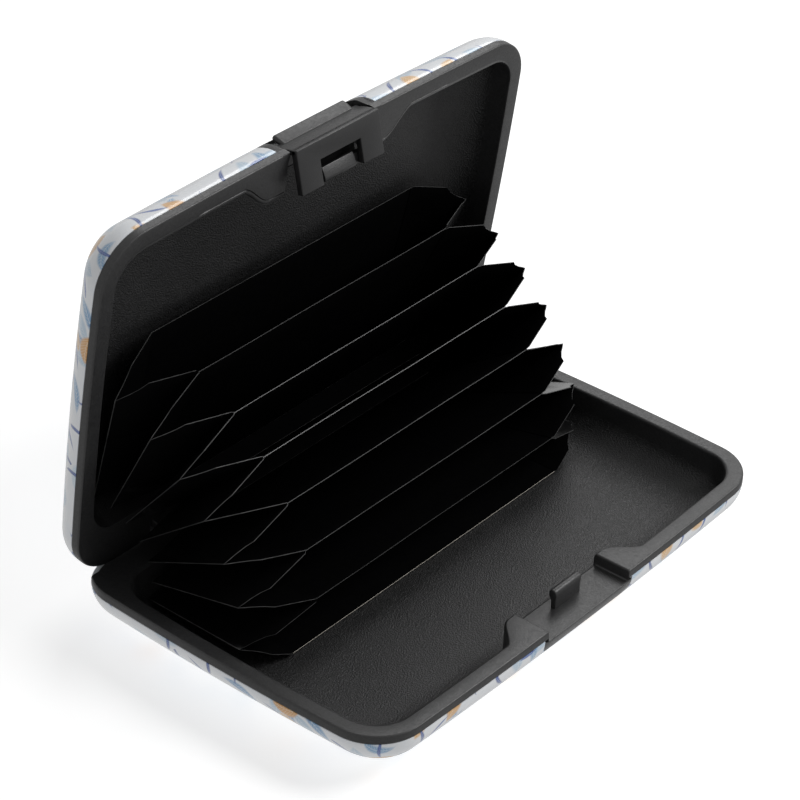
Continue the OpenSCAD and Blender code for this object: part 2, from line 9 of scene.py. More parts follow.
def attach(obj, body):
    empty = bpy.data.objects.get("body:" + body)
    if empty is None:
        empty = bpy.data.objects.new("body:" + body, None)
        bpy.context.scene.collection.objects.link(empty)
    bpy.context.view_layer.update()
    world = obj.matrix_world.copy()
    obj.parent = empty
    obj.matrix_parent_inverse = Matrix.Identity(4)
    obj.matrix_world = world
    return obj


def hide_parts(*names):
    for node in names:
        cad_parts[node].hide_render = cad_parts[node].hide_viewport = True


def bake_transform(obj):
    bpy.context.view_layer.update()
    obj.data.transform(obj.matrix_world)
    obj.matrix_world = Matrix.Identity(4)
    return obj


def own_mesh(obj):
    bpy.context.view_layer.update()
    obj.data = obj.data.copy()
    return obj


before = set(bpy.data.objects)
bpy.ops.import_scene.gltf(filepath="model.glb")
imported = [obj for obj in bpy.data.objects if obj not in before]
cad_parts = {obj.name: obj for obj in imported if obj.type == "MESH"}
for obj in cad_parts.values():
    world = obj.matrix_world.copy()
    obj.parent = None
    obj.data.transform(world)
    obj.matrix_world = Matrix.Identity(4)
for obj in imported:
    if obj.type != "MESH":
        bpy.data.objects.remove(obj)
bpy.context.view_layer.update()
mm = 0.001

# the case's outline and the turn of its open lid, in mm and degrees, as the solids have them
case = {
    "length": 106.2,
    "width": 68.4,
    "height": 20.4,
    "rimGap": 0.1,
    "bowEnd": 0.88,
    "bowSide": 0.92,
    "backMore": 1.3,
    "cornerRadius": 8.8,
    "bandHeight": 1.6,
    "openAngle": 81.8,
    "hingeIn": 1.84,
}
halfLength = case["length"] / 2
halfWidth = case["width"] / 2
halfHeight = (case["height"] - case["rimGap"]) / 2
halfBack = halfWidth + case["backMore"]
hingeY = halfBack - case["hingeIn"]
hingeZ = halfHeight + case["rimGap"] / 2

hingePoint = Vector((0, hingeY, hingeZ))
openTurn = (
    Matrix.Translation(hingePoint)
    @ Matrix.Rotation(-radians(case["openAngle"]), 4, "X")
    @ Matrix.Translation(-hingePoint)
)
lidPlace = openTurn @ Matrix.Translation((0, 0, 2 * hingeZ)) @ Matrix.Diagonal((1, 1, -1, 1))


def inMetres(place):
    return Matrix.Scale(mm, 4) @ place @ Matrix.Scale(1 / mm, 4)


def smoothShade(mesh, angle=32):
    for face in mesh.polygons:
        face.use_smooth = True
    mesh.set_sharp_from_angle(angle=radians(angle))


# faces are turned outwards; with a distance, points that lie closer than that become one
def cleaned(mesh, distance=0.0):
    work = bmesh.new()
    work.from_mesh(mesh)
    if distance:
        bmesh.ops.remove_doubles(work, verts=work.verts, dist=distance)
        bmesh.ops.dissolve_degenerate(work, edges=work.edges, dist=distance / 2)
    bmesh.ops.recalc_face_normals(work, faces=work.faces)
    work.to_mesh(mesh)
    work.free()


def newObject(name, data):
    made = bpy.data.objects.new(name, data)
    bpy.context.collection.objects.link(made)
    return made


# points come in mm, and place puts them where the piece stands open
def makePiece(name, points, faces, materials=(), place=None, faceSlots=None, weld=2e-6):
    mesh = bpy.data.meshes.new(name)
    mesh.from_pydata([Vector(p) for p in points], [], faces)
    for material in materials:
        mesh.materials.append(material)
    if faceSlots is not None:
        mesh.polygons.foreach_set("material_index", faceSlots)
    mesh.transform(Matrix.Scale(mm, 4) @ (place or Matrix.Identity(4)))
    if weld:
        cleaned(mesh, weld)
    return newObject(name, mesh)


# a flat outline pushed through from low to high along an axis; its points have the other two
def prism(name, section, axis, low, high, materials=(), place=None):
    at, count = "xyz".index(axis), len(section)
    points = [(*p[:at], level, *p[at:]) for level in (low, high) for p in section]
    faces = [(k, (k + 1) % count, count + (k + 1) % count, count + k) for k in range(count)]
    faces += [tuple(range(count - 1, -1, -1)), tuple(range(count, 2 * count))]
    return makePiece(name, points, faces, materials, place)


def quarter(steps):
    return [pi / 2 * k / steps for k in range(steps + 1)]


def circle(y, z, radius, sides=48):
    turns = [2 * pi * k / sides for k in range(sides)]
    return [(y + radius * cos(a), z + radius * sin(a)) for a in turns]


def applied(piece):
    bpy.context.view_layer.update()
    shape = bpy.data.meshes.new_from_object(piece.evaluated_get(bpy.context.evaluated_depsgraph_get()))
    old = piece.data
    piece.modifiers.clear()
    piece.data = shape
    shape.name = piece.name
    bpy.data.meshes.remove(old)
    return piece


def cutBy(piece, tool):
    step = piece.modifiers.new("cut", "BOOLEAN")
    step.object = tool
    step.operation = "DIFFERENCE"
    step.solver = "EXACT"
    applied(piece)
    bpy.data.objects.remove(tool)
    return piece


def bevelled(piece, width, segments=2, angle=30):
    step = piece.modifiers.new("edge", "BEVEL")
    step.width = width * mm
    step.segments = segments
    step.limit_method = "ANGLE"
    step.angle_limit = radians(angle)
    return applied(piece)


def joined(name, pieces):
    first = pieces[0]
    with bpy.context.temp_override(active_object=first, selected_editable_objects=pieces):
        bpy.ops.object.join()
    first.name = name
    first.data.name = name
    return first


# ---- node helpers
# a web is a node tree with its nodes by name; "node.socket" names a socket by its label or number
# a kind is short for one of the tree's own family, and in full for others
def addNodes(web, **kinds):
    family = web["tree"].bl_idname.removesuffix("Tree")
    for name, kind in kinds.items():
        web[name] = web["tree"].nodes.new(kind if "Node" in kind else family + kind)


def socketOf(sockets, label):
    return sockets[int(label) if label.isdigit() else label]


def feed(web, socket, value):
    if isinstance(value, (int, float, tuple)):
        socket.default_value = value
        return
    if isinstance(value, str):
        node, label = value.split(".")
        value = socketOf(web[node].outputs, label)
    web["tree"].links.new(value, socket)


def wire(web, *pairs):
    for value, target in pairs:
        node, label = target.split(".")
        feed(web, socketOf(web[node].inputs, label), value)


# every node's first output goes to the next one's first input
def chain(web, *names):
    for name, following in zip(names, names[1:]):
        web["tree"].links.new(web[name].outputs[0], web[following].inputs[0])


def setInputs(node, values):
    for label, value in values.items():
        node.inputs[label].default_value = value


def calc(web, operation, *values):
    node = web["tree"].nodes.new("ShaderNodeMath")
    node.operation = operation
    for socket, value in zip(node.inputs, values):
        feed(web, socket, value)
    return node.outputs[0]


def mixColor(web, factor, a, b):
    node = web["tree"].nodes.new("ShaderNodeMix")
    node.data_type = "RGBA"
    for number, value in ((0, factor), (6, a), (7, b)):
        feed(web, node.inputs[number], value)
    return node.outputs[2]


def noise(web, vector, scale, detail, roughness=0.5):
    node = web["tree"].nodes.new("ShaderNodeTexNoise")
    setInputs(node, {"Scale": scale, "Detail": detail, "Roughness": roughness})
    feed(web, node.inputs["Vector"], vector)
    return node.outputs["Fac"]


# inputs are given by their kind, or by their default where that is a number
def groupWeb(name, family, inputs, outputs, **kinds):
    tree = bpy.data.node_groups.new(name, family)
    for label, value in inputs.items():
        kind = value if isinstance(value, str) else "Float"
        socket = tree.interface.new_socket(label, in_out="INPUT", socket_type="NodeSocket" + kind)
        if kind != value:
            socket.default_value = value
    for label, kind in outputs.items():
        tree.interface.new_socket(label, in_out="OUTPUT", socket_type="NodeSocket" + kind)
    web = {"tree": tree}
    addNodes(web, given="NodeGroupInput", result="NodeGroupOutput", **kinds)
    return web


def materialWeb(name, **kinds):
    material = bpy.data.materials.new(name)
    material.use_nodes = True
    web = {"tree": material.node_tree, "shader": material.node_tree.nodes["Principled BSDF"]}
    addNodes(web, **kinds)
    return material, web


patchScale, patchShare = 90, 0.4


# moulded grain: fine pebbles and a slow change of gloss, used by every plastic piece
def grainGroup():
    web = groupWeb(
        "mouldedGrain",
        "ShaderNodeTree",
        {
            "Vector": "Vector",
            "Pebble Scale": 2600.0,
            "Pebble Height": 0.5,
            "Speck Scale": 4000.0,
            "Speck Gloss": 0.15,
            "Roughness": 0.45,
            "Patch": 0.08,
        },
        {"Height": "Float", "Roughness": "Float", "Shade": "Float"},
        pebbles="TexVoronoi",
        fine="TexNoise",
        specks="TexVoronoi",
        tone="SeparateColor",
    )
    web["pebbles"].feature = "SMOOTH_F1"
    setInputs(web["pebbles"], {"Smoothness": 0.6})
    setInputs(web["fine"], {"Detail": 3.0})
    wire(
        web,
        ("given.Vector", "pebbles.Vector"),
        ("given.Pebble Scale", "pebbles.Scale"),
        ("given.Vector", "fine.Vector"),
        ("given.Pebble Scale", "fine.Scale"),
        ("given.Vector", "specks.Vector"),
        ("given.Speck Scale", "specks.Scale"),
        ("specks.Color", "tone.0"),
    )
    height = calc(web, "ADD", "pebbles.Distance", "fine.Fac")
    slow = noise(web, "given.Vector", patchScale, detail=4)
    # every speck has its own shade and gloss, and the slow noise shades and polishes in patches
    spread = calc(web, "MULTIPLY", calc(web, "SUBTRACT", slow, 0.5), "given.Patch")
    glint = calc(web, "MULTIPLY", calc(web, "SUBTRACT", "tone.1", 0.5), "given.Speck Gloss")
    shade = calc(web, "ADD", calc(web, "MULTIPLY", slow, patchShare), calc(web, "MULTIPLY", "tone.0", 1 - patchShare))
    wire(
        web,
        (calc(web, "MULTIPLY", height, "given.Pebble Height"), "result.Height"),
        (calc(web, "ADD", calc(web, "ADD", "given.Roughness", spread), glint), "result.Roughness"),
        (shade, "result.Shade"),
    )
    return web["tree"]


mouldedGrain = grainGroup()


def plastic(name, dark, light, grain, bump, specular=0.5):
    material, web = materialWeb(name, place="TexCoord", group="Group", relief="Bump")
    web["group"].node_tree = mouldedGrain
    setInputs(web["group"], grain)
    setInputs(web["relief"], {"Distance": bump * mm, "Strength": 1.0})
    setInputs(web["shader"], {"Specular IOR Level": specular})
    wire(
        web,
        ("place.Object", "group.Vector"),
        ("group.Height", "relief.Height"),
        ("relief.Normal", "shader.Normal"),
        ("group.Roughness", "shader.Roughness"),
        (mixColor(web, "group.Shade", (*dark, 1), (*light, 1)), "shader.Base Color"),
    )
    return material


fineGrain = {"Pebble Scale": 5200.0, "Pebble Height": 0.4}
trayGrain = {"Pebble Scale": 3800.0, "Pebble Height": 0.9, "Speck Scale": 4200.0, "Speck Gloss": 0.22}
deepGrain = {"Pebble Scale": 2900.0, "Pebble Height": 0.4}
paperGrain = {"Pebble Scale": 2400.0, "Pebble Height": 0.5}

rimPlastic = plastic(
    "rimPlastic", (0.009, 0.009, 0.0095), (0.032, 0.032, 0.0325), {**fineGrain, "Roughness": 0.42, "Patch": 0.1}, 0.03
)
trayPlastic = plastic(
    "trayPlastic", (0.003, 0.003, 0.0032), (0.027, 0.027, 0.0275), {**trayGrain, "Roughness": 0.45, "Patch": 0.06}, 0.1
)
latchPlastic = plastic(
    "latchPlastic",
    (0.0055, 0.0055, 0.006),
    (0.0115, 0.0115, 0.012),
    {**fineGrain, "Roughness": 0.4, "Patch": 0.12},
    0.03,
)
# paler plastic: a painted highlight along the lid's ledge, and painted light on the base's boss plate
paintedHighlightPlastic = plastic(
    "paintedHighlightPlastic", (0.035, 0.035, 0.0355), (0.07, 0.07, 0.0705), {**fineGrain, "Roughness": 0.35, "Patch": 0.1}, 0.03
)
# near-black plastic: painted shade, on the sheet in the hollow behind the latch's notch
paintedShadePlastic = plastic(
    "paintedShadePlastic",
    (0.0015, 0.0015, 0.0016),
    (0.003, 0.003, 0.0032),
    {**deepGrain, "Roughness": 0.6, "Patch": 0.06},
    0.03,
    specular=0.1,
)
tapePaper = plastic(
    "tapePaper", (0.05, 0.05, 0.05), (0.09, 0.09, 0.09), {**paperGrain, "Roughness": 0.7, "Patch": 0.1}, 0.03
)


filmNoise = {"slow": 60, "fine": 900, "fineShare": 0.03, "relief": 0.12, "gloss": 0.08}


def filmMaterial(name, color, roughness, specular, spread=0.3):
    material, web = materialWeb(name, place="TexCoord", relief="Bump")
    slow = noise(web, "place.Object", filmNoise["slow"], detail=3)
    fine = noise(web, "place.Object", filmNoise["fine"], detail=2)
    gloss = calc(web, "ADD", calc(web, "MULTIPLY", fine, filmNoise["gloss"]), roughness - filmNoise["gloss"] / 2)
    setInputs(web["relief"], {"Distance": filmNoise["relief"] * mm})
    setInputs(web["shader"], {"Specular IOR Level": specular})
    dark, light = [(*[c * share for c in color], 1) for share in (1 - spread, 1 + spread)]
    wire(
        web,
        (calc(web, "ADD", slow, calc(web, "MULTIPLY", fine, filmNoise["fineShare"])), "relief.Height"),
        ("relief.Normal", "shader.Normal"),
        (mixColor(web, fine, dark, light), "shader.Base Color"),
        (gloss, "shader.Roughness"),
    )
    return material


film = filmMaterial("film", (0.003, 0.003, 0.0032), 0.5, 0.0)
filmOuter = filmMaterial("filmOuter", (0.004, 0.004, 0.0042), 0.2, 0.35)
# pale grey film: painted highlight along cut edges and creases; on the creases partly the film's own stress whitening
filmEdgeHighlight = filmMaterial("filmEdgeHighlight", (0.07, 0.07, 0.07), 0.35, 0.3, 0.9)
# near-white film: a painted highlight along the last leaf's cut edge
lastEdgeHighlight = filmMaterial("lastEdgeHighlight", (0.8, 0.75, 0.66), 0.3, 0.5, 0.15)


# fine lines drawn along X
steel = {
    "lines": 9000,
    "along": 0.05,
    "gloss": 0.2,
    "roughness": 0.22,
    "dark": (0.42, 0.42, 0.43, 1),
    "light": (0.62, 0.62, 0.63, 1),
}


def steelMaterial():
    material, web = materialWeb("drawnSteel", place="TexCoord", stretch="Mapping")
    setInputs(web["stretch"], {"Scale": (steel["along"], 1, 1)})
    setInputs(web["shader"], {"Metallic": 1.0})
    wire(web, ("place.Object", "stretch.Vector"))
    lines = noise(web, "stretch.Vector", steel["lines"], detail=3)
    wire(
        web,
        (calc(web, "ADD", calc(web, "MULTIPLY", lines, steel["gloss"]), steel["roughness"]), "shader.Roughness"),
        (mixColor(web, lines, steel["dark"], steel["light"]), "shader.Base Color"),
    )
    return material


drawnSteel = steelMaterial()
print("materials for plastic, film and steel built")


# ---- the print on the skins: almond leaves strewn over white, on the skin's own unrolled map
# a cell pattern gives each leaf its place, turn and tint
motif = {
    "scatter": 0.75,
    "bend": 0.5,
    "midrib": 0.008,
    "slant": -0.9,
    "veins": 14.0,
    "veinWidth": 0.07,
    "veinTint": 0.6,
}
paper = {"wash": 34, "shade": (0.8, 0.85, 0.91, 1), "white": (0.95, 0.95, 0.95, 1)}


def leafGroup():
    web = groupWeb(
        "strewnLeaves",
        "ShaderNodeTree",
        {
            "Vector": "Vector",
            "Density": 8.0,
            "Leaf Length": 0.42,
            "Leaf Width": 0.16,
            "Share": 0.7,
            "Crispness": 40.0,
        },
        {"Mask": "Float", "Vein": "Float", "Tint": "Float"},
        cells="TexVoronoi",
        scaled="VectorMath",
        away="VectorMath",
        random="SeparateColor",
        rotate="VectorRotate",
        parts="SeparateXYZ",
    )
    web["cells"].voronoi_dimensions = "2D"
    web["scaled"].operation, web["away"].operation = "SCALE", "SUBTRACT"
    web["rotate"].rotation_type = "Z_AXIS"
    setInputs(web["cells"], {"Randomness": motif["scatter"], "Scale": 1.0})
    wire(
        web,
        ("given.Vector", "scaled.0"),
        ("given.Density", "scaled.Scale"),
        ("scaled.0", "cells.Vector"),
        ("scaled.0", "away.0"),
        ("cells.Position", "away.1"),
        ("cells.Color", "random.0"),
        ("away.0", "rotate.Vector"),
        (calc(web, "MULTIPLY", "random.0", 2 * pi), "rotate.Angle"),
        ("rotate.0", "parts.0"),
    )
    along, across = "parts.0", "parts.1"
    # a slight bend of the midrib
    bend = calc(web, "MULTIPLY", calc(web, "MULTIPLY", along, along), motif["bend"])
    side = calc(web, "ABSOLUTE", calc(web, "SUBTRACT", across, bend))
    share = calc(web, "DIVIDE", along, "given.Leaf Length")
    swell = calc(web, "SUBTRACT", 1.0, calc(web, "MULTIPLY", share, share))
    inside = calc(web, "SUBTRACT", calc(web, "MULTIPLY", swell, "given.Leaf Width"), side)
    mask = calc(web, "MULTIPLY", inside, "given.Crispness")
    mask = calc(web, "MAXIMUM", calc(web, "MINIMUM", mask, 1.0), 0.0)
    mask = calc(web, "MULTIPLY", mask, calc(web, "LESS_THAN", "random.1", "given.Share"))
    # midrib and side veins
    rib = calc(web, "LESS_THAN", side, motif["midrib"])
    slant = calc(web, "ADD", along, calc(web, "MULTIPLY", side, motif["slant"]))
    row = calc(web, "FRACT", calc(web, "MULTIPLY", slant, motif["veins"]))
    veins = calc(web, "LESS_THAN", calc(web, "ABSOLUTE", calc(web, "SUBTRACT", row, 0.5)), motif["veinWidth"])
    vein = calc(web, "MULTIPLY", calc(web, "MAXIMUM", rib, veins), mask)
    wire(web, (mask, "result.Mask"), (vein, "result.Vein"), ("random.2", "result.Tint"))
    return web["tree"]


strewnLeaves = leafGroup()

# each layer: offset, density, leaf length and width, share, crispness, dark tint, light tint, vein tint
printLayers = [
    ((0.13, 0.4, 0), 13, 0.48, 0.22, 0.8, 12, (0.38, 0.56, 0.74, 1), (0.74, 0.83, 0.9, 1), (0.9, 0.93, 0.95, 1)),
    ((0.71, 0.2, 0), 11, 0.46, 0.13, 0.6, 16, (0.08, 0.24, 0.5, 1), (0.36, 0.56, 0.76, 1), (0.82, 0.88, 0.93, 1)),
    ((0.37, 0.9, 0), 12, 0.36, 0.24, 0.2, 12, (0.7, 0.34, 0.1, 1), (0.9, 0.62, 0.32, 1), (0.95, 0.8, 0.6, 1)),
    ((0.05, 0.63, 0), 14, 0.5, 0.07, 1.0, 24, (0.012, 0.035, 0.22, 1), (0.05, 0.12, 0.44, 1), (0.3, 0.42, 0.68, 1)),
]


def printMaterial():
    material, web = materialWeb("leafPrint", place="UVMap")
    web["place"].uv_map = "unrolled"
    wash = noise(web, "place.UV", paper["wash"], detail=5, roughness=0.6)
    color = mixColor(web, wash, paper["shade"], paper["white"])
    for offset, *leaf, dark, light, veinTint in printLayers:
        addNodes(web, shift="Mapping", group="Group")
        setInputs(web["shift"], {"Location": offset})
        web["group"].node_tree = strewnLeaves
        setInputs(web["group"], dict(zip(("Density", "Leaf Length", "Leaf Width", "Share", "Crispness"), leaf)))
        wire(web, ("place.UV", "shift.Vector"), ("shift.0", "group.Vector"))
        brush = calc(web, "ADD", calc(web, "MULTIPLY", "group.Tint", 0.5), calc(web, "MULTIPLY", wash, 0.5))
        tint = mixColor(web, brush, dark, light)
        tint = mixColor(web, calc(web, "MULTIPLY", "group.Vein", motif["veinTint"]), tint, veinTint)
        color = mixColor(web, "group.Mask", color, tint)
    wire(web, (color, "shader.Base Color"))
    gloss = {"Roughness": 0.2, "Specular IOR Level": 0.5, "Coat Weight": 0.6, "Coat Roughness": 0.08}
    setInputs(web["shader"], gloss)
    return material


leafPrint = printMaterial()
print("print for the skins built")

# ---- outlines of the halves
# columns of the front side stand close together where the recess and the ears turn
sampling = {"corner": 14, "frontReach": 30.0, "frontEnds": 7, "back": 44, "end": 22, "leastRadius": 0.8}
frontSide, slack = -15, 0.01
fineReach = {"from": 12.0, "to": 24.0, "step": 0.4}
# columns at the recess's edge, in shares of its radius, and how far the even ones keep away from it
edgeShares = (-1, -0.7, -0.4, -0.15, -0.001, 0, 0.15, 0.4, 0.7, 1)
edgeRoom = 1.15


def frontColumns(mark, edge):
    columns = set(round(x, 4) for x in np.arange(0, sampling["frontReach"] + slack, 1.0))
    columns |= set(round(x, 4) for x in np.arange(fineReach["from"], fineReach["to"], fineReach["step"]))
    columns = {x for x in columns if abs(x - mark) > edge * edgeRoom}
    columns |= {round(mark + edge * s, 4) for s in edgeShares}
    columns = sorted(columns)
    return [-x for x in reversed(columns) if x > 0] + columns


def cornerPoints(cx, cy, radius, start):
    turns = [radians(start) + a for a in quarter(sampling["corner"])]
    return [(cx + radius * cos(a), cy + radius * sin(a)) for a in turns]


def between(a, b, count):
    return [(a[0] + (b[0] - a[0]) * k / count, a[1] + (b[1] - a[1]) * k / count) for k in range(1, count)]


# the rounded oblong at three insets, with its ends and its front bowed outwards
def outline(endIn, frontIn, backIn, radius, columns):
    hl, f, b = halfLength - endIn, halfWidth - frontIn, halfBack - backIn
    r = max(radius, sampling["leastRadius"])
    c1, c2 = cornerPoints(hl - r, r - f, r, 270), cornerPoints(hl - r, b - r, r, 0)
    c3, c4 = cornerPoints(r - hl, b - r, r, 90), cornerPoints(r - hl, r - f, r, 180)
    reach, ends = sampling["frontReach"], sampling["frontEnds"]
    left = between(c4[-1], (-reach, -f), ends)
    right = between((reach, -f), c1[0], ends)
    points = c1 + between(c1[-1], c2[0], sampling["end"]) + c2 + between(c2[-1], c3[0], sampling["back"]) + c3
    points += between(c3[-1], c4[0], sampling["end"]) + c4 + left + [(x, -f) for x in columns] + right
    mid, hw = (b - f) / 2, (b + f) / 2
    result = []
    for x, y in points:
        u, v = max(-1, min(1, x / hl)), max(-1, min(1, (y - mid) / hw))
        endBow = copysign(case["bowEnd"] * (1 - v * v) * abs(u) ** 4, u)
        result.append((x + endBow, y - case["bowSide"] * (1 - u * u) * min(0, v) ** 4))
    return result


def isFront(x, y):
    return y < frontSide and abs(x) < sampling["frontReach"] + slack


# rings of points become a closed skin of quads, with a flat face on its first and last ring
def lofted(name, rings, materials, place=None, ringSlots=None, weld=2e-6):
    count = len(rings[0])
    points = [p for ring in rings for p in ring]
    ringSlots = ringSlots or [0] * len(rings)
    faces, slots = [], []
    for i in range(len(rings) - 1):
        a, b = i * count, (i + 1) * count
        for k in range(count):
            n = (k + 1) % count
            faces.append((a + k, a + n, b + n, b + k))
            slots.append(ringSlots[i])
    last = len(points) - count
    faces += [tuple(range(count - 1, -1, -1)), tuple(last + k for k in range(count))]
    slots += [ringSlots[0], ringSlots[-1]]
    return makePiece(name, points, faces, materials, place, slots, weld)


pillow = {
    "end": 14.9,
    "side": 12.2,
    "back": 12.6,
    "steps": 22,
    "innerSteps": 12,
    "skin": 0.8,
    "seat": 0.05,
    "edge": 0.12,
    "lean": 0.02,
    "columnEdge": 0.3,
}
bandFoot = halfHeight - case["bandHeight"]


def pillowInsets(t, angle):
    e, s, b = [pillow[side] - (pillow[side] - t) * cos(angle) for side in ("end", "side", "back")]
    return e, s, b, bandFoot - (bandFoot - t) * sin(angle)


def pillowRings(t, columns, steps):
    rings = []
    for k in range(steps + 1):
        e, s, b, z = pillowInsets(t, pi / 2 * (1 - k / steps))
        rings.append([(x, y, z) for x, y in outline(e, s, b, case["cornerRadius"] - (e + s) / 2, columns)])
    return rings


# the front face of the pillow at x and z
def pillowFront(x, z):
    depth = min(1.0, max(0.0, (bandFoot - z) / bandFoot))
    e, s, b, level = pillowInsets(0.0, asin(depth))
    u = x / (halfLength - e)
    return -(halfWidth - s) - case["bowSide"] * (1 - u * u)


# ---- frames
tray = {
    "rim": 3.07,
    "hingeRim": 8.5,
    "innerRadius": 6.2,
    "depth": 8.75,
    "wall": 3.6,
    "run": 8.5,
    "draft": 3.07 / 8,
    "steps": 12,
    "roundSteps": 5,
    "underSteps": 12,
    "outerEdge": 0.35,
    "innerEdge": 0.6,
    "footGap": 0.02,
    "footEdge": 0.12,
    "footTop": 0.14,
}
# insets and levels of the groove and of the ledge beside it
ledge = {"grooveOut": 0.34, "grooveFoot": 0.2, "out": 0.06, "sunk": 0.02, "bead": 0.04, "beadSteps": 3}


def recessDrop(x, halfX, depth, edge):
    d = abs(x) - halfX
    if d >= edge:
        return 0.0
    if d >= 0:
        return edge - sqrt(edge**2 - (edge - d) ** 2)
    if d > -edge:
        return depth - edge + sqrt(max(0, edge**2 - (edge + d) ** 2))
    return depth


# halves differ in their ears, their recess and the groove and ledge along the lid's front
halves = {
    "base": {
        "earIn": 6.7,
        "earFlat": 13.0,
        "earEnd": 19.6,
        "recess": 11.3,
        "drop": 2.2,
        "edge": 0.35,
        "lip": 0,
        "lipDrop": 0,
    },
    "lid": {
        "earIn": 7.1,
        "earFlat": 14.2,
        "earEnd": 22.0,
        "recess": 10.7,
        "drop": 4.54,
        "edge": 0.25,
        "lip": 0.8,
        "lipDrop": 0.25,
    },
}


def frameRings(half):
    given = halves[half]
    columns = frontColumns(given["recess"], given["edge"])
    rimY = halfWidth + case["bowSide"] - tray["rim"]
    earY = halfWidth - given["earIn"]
    base, r, rim = halfHeight, case["cornerRadius"], tray["rim"]
    rings, slots = [], []

    def earLimit(x):
        u = min(1.0, max(0.0, (given["earEnd"] - abs(x)) / (given["earEnd"] - given["earFlat"])))
        return -rimY + (rimY - earY) * (1 - cos(pi * u)) / 2

    def add(slot, insets, radius, z, inner, top, groove=0):
        points = []
        for x, y in outline(*insets, radius, columns):
            level = z
            if isFront(x, y):
                if inner and abs(x) < given["earEnd"]:
                    y = max(y, earLimit(x) + min(given["lip"], insets[1] - rim))
                drop = recessDrop(x, given["recess"], given["drop"], given["edge"])
                if top:
                    level = z - drop - groove
                else:
                    level = min(z, base - drop - tray["innerEdge" if inner else "outerEdge"])
                y = max(y, pillowFront(x, level))
            points.append((x, y, level))
        rings.append(points)
        slots.append(slot)

    def even(inset, z, top):
        add(0, (inset, inset, inset), r - inset, z, False, top)

    # the hidden underside follows the skin's inner face
    t = pillow["skin"] + pillow["seat"]
    for k in range(tray["underSteps"] + 1):
        *insets, z = pillowInsets(t, pi / 2 * (1 - k / tray["underSteps"]))
        add(0, insets, r - (insets[0] + insets[1]) / 2, z, False, False)
    even(t, bandFoot + tray["footGap"], False)
    even(tray["footEdge"], bandFoot + tray["footGap"], False)
    even(0, bandFoot + tray["footTop"], False)
    edge = tray["outerEdge"]
    for a in quarter(tray["roundSteps"]):
        even(edge * (1 - cos(a)), base - edge * (1 - sin(a)), True)

    # the groove and the ledge follow the front edge only; along the sides and the hinge the wall starts at the rim
    lip = given["lip"]

    def innerRing(inset, z, slot, groove=0):
        held = rim + (min(0, inset) if lip else inset)
        insets = (held, rim + inset, tray["hingeRim"] + min(0, inset))
        add(slot, insets, tray["innerRadius"] - inset, z, True, True, groove)

    if lip:
        innerRing(-ledge["grooveOut"], base, 0)
        innerRing(-ledge["grooveFoot"], base, 0, given["lipDrop"])
        # slot 2 is the paler plastic, a painted highlight along the ledge
        innerRing(-ledge["out"], base - ledge["sunk"], 2)
    edge = tray["innerEdge"]
    for k, a in enumerate(quarter(tray["roundSteps"])):
        # the bead's first steps take the paler plastic too, painted highlight
        slot = 2 if lip and k < ledge["beadSteps"] else 0
        innerRing(lip - edge * (1 - sin(a)), base - ledge["bead"] - edge * (1 - cos(a)), slot)

    start, radius = rim + tray["draft"], tray["innerRadius"] - tray["draft"] - lip
    for a in quarter(tray["steps"]):
        side = start + tray["run"] * (1 - cos(a))
        front = start + lip + (tray["run"] - lip) * (1 - cos(a))
        level = base - tray["depth"] + (tray["depth"] - tray["wall"]) * (1 - sin(a))
        add(1, (side, front, tray["hingeRim"] + tray["draft"] / 2), radius, level, True, False)
    return rings, slots


knuckles = {
    "in": 26.0,
    "swingIn": 1.7,
    "group": 16.0,
    "radius": 2.3,
    "pin": 1.5,
    "clear": 0.05,
    "run": 0.2,
    "lidShare": 0.4,
    "swingShare": 0.83,
    "edge": 0.15,
}
knuckleX = halfLength - knuckles["in"]
lidKnuckle = knuckles["group"] * knuckles["lidShare"]
baseKnuckle = (knuckles["group"] - lidKnuckle) / 2 - knuckles["run"]
baseSpots = [s * knuckleX + e * (knuckles["group"] - baseKnuckle) / 2 for s in (-1, 1) for e in (-1, 1)]
lidSpots = [-knuckleX, knuckleX]
# half sizes of a space that holds the whole case
outside = {"x": 80, "y": 60, "z": 30}


def knuckleRoom(piece, spots, length, place=None):
    reach = length / 2 + knuckles["run"]
    section = circle(hingeY, hingeZ, knuckles["radius"] + knuckles["run"])
    for x in spots:
        cutBy(piece, prism("tool", section, "x", x - reach, x + reach, place=place))
    return piece


# the lid's back edge swings down through here
def swingRoom(piece):
    near, x = hingeY - knuckles["swingIn"], outside["x"]
    section = [(-x, near), (x, near), (x, outside["y"]), (-x, outside["y"])]
    foot = halfHeight - knuckles["radius"] * knuckles["swingShare"]
    return cutBy(piece, prism("tool", section, "z", foot, outside["z"]))


